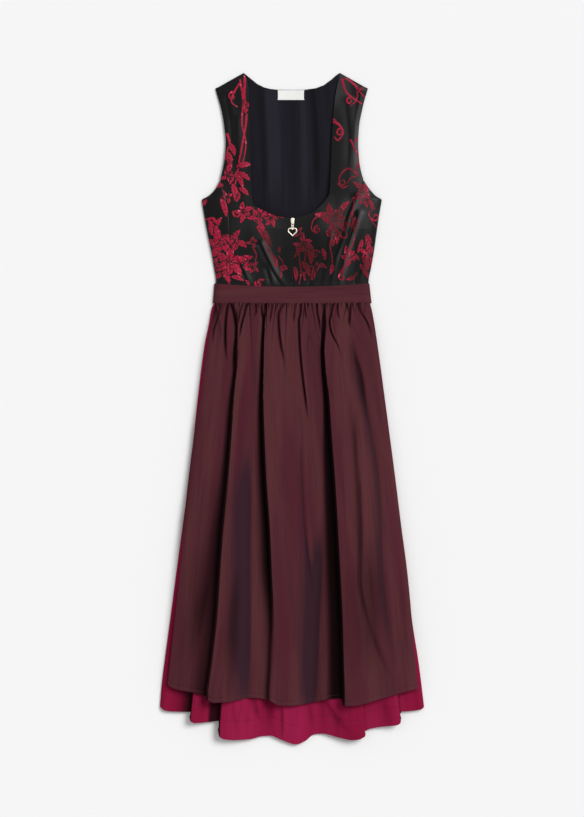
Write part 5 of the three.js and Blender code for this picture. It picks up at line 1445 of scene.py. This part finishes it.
def zip_slider():
    """Rounded plate, broad towards the neck, with an arched bridge over the pull's pin and a post between
    the fronts."""
    vertices, faces = [], []
    half, foot = SLIDER_WIDTH / 2, SLIDER_FOOT_WIDTH / 2
    top, shoulder, low = SLIDER_TOP_Y, SLIDER_TOP_Y - 4, SLIDER_TOP_Y - SLIDER_LENGTH
    outline = np.concatenate([
        bezier((half, shoulder), (half, top - 1), (half * 0.6, top), (0, top)),
        bezier((0, top), (-half * 0.6, top), (-half, top - 1), (-half, shoulder)),
        bezier((-half, shoulder), (-half, low + 6), (-foot, low + 4), (-foot, low + 1.4)),
        bezier((-foot, low + 1.4), (-foot, low), (foot, low), (foot, low + 1.4)),
        bezier((foot, low + 1.4), (foot, low + 4), (half, low + 6), (half, shoulder)),
    ])
    middle = np.array([0, SLIDER_TOP_Y - SLIDER_LENGTH / 2])
    inward = (middle - outline) / np.linalg.norm(middle - outline, axis=1, keepdims=True)
    count = len(outline)
    rings = []
    for height, shrink in ((0, 0.35), (0.3, 0), (0.9, 0), (1.3, 0.25), (SLIDER_PLATE, 0.9)):
        rings += [(x, y, plate_bottom + height) for x, y in outline + inward * shrink]
    plate_faces = []
    for first in range(0, 4 * count, count):
        for k in range(count):
            after = (k + 1) % count
            plate_faces.append([first + k, first + after, first + count + after, first + count + k])
    plate_faces += [list(range(count))[::-1], list(range(4 * count, 5 * count))]
    turn = np.linspace(0, np.pi, 13)
    arch = np.column_stack([np.zeros(13), PIN_Y + 1.9 * np.cos(turn), plate_top - 0.3 + 3.0 * np.sin(turn)])
    post = [(0, SLIDER_TOP_Y - 2.4, plate_bottom - 3), (0, SLIDER_TOP_Y - 2.4, plate_bottom + 0.4)]
    for points, own in ((rings, plate_faces), tube(arch, 0.75), tube(post, 1.0)):
        add(vertices, faces, points, own)
    return solid_mesh("slider", vertices, faces, gold)


plate_bottom = max(slit_height(y) for y in (SLIDER_TOP_Y, SLIDER_LOW_Y)) + GAP
plate_top = plate_bottom + SLIDER_PLATE
pin_height = plate_top + PIN_OVER_PLATE
pieces["zip_tape"] = zip_tape()
pieces["zip_slider"] = zip_slider()
pieces["zip_pull"] = zip_pull()
threads["zip_teeth"] = teeth()

for node, piece in pieces.items():
    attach(piece, "zip_pull" if node == "zip_pull" else "dress")
    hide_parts(node)
for piece in threads.values():
    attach(piece, "dress")

# Floor, light and camera
FLOOR_HALF = 6  # metres, as the sizes below are
LIGHT_FROM = (0.7, 0.5, 0.95)  # direction of the lamp: right, towards the neck, up
LIGHT_STRENGTH = 2.35
LIGHT_SPREAD = 0.55  # radians that the lamp covers
STUDIO_STRENGTH = 0.54
CAMERA_HEIGHT = 12.0
CAMERA_Y = -0.0013
PHOTO_HEIGHT = 1.7157  # what the photo covers from top to bottom
SENSOR = 36.0  # millimetres

floor_corners = [(x * FLOOR_HALF, y * FLOOR_HALF, 0) for x, y in ((-1, -1), (1, -1), (1, 1), (-1, 1))]
floor_look = grained("floor", (0.845, 0.845, 0.845), 0.9, size=0.002, shade=0.995, depth=0.00001)
floor_mesh = bpy.data.meshes.new("floor")
floor_mesh.from_pydata(floor_corners, [], [(0, 1, 2, 3)])
floor_mesh.materials.append(floor_look)
linked("floor", floor_mesh)

lamp_light = bpy.data.lights.new("lamp", "SUN")
lamp_light.energy = LIGHT_STRENGTH
lamp_light.angle = LIGHT_SPREAD
linked("lamp", lamp_light).rotation_euler = (-Vector(LIGHT_FROM)).to_track_quat("-Z", "Y").to_euler()

world = bpy.data.worlds.new("studio")
world.use_nodes = True
studio = world.node_tree.nodes["Background"].inputs
studio["Color"].default_value = (1, 1, 1, 1)
studio["Strength"].default_value = STUDIO_STRENGTH
bpy.context.scene.world = world
bpy.context.scene.view_settings.view_transform = "Standard"

lens = bpy.data.cameras.new("camera")
lens.sensor_fit = "VERTICAL"
lens.sensor_height = SENSOR
lens.lens = SENSOR * CAMERA_HEIGHT / PHOTO_HEIGHT
lens.clip_end = 60
camera = linked("camera", lens)
camera.location = (0, CAMERA_Y, CAMERA_HEIGHT)
bpy.context.scene.camera = camera
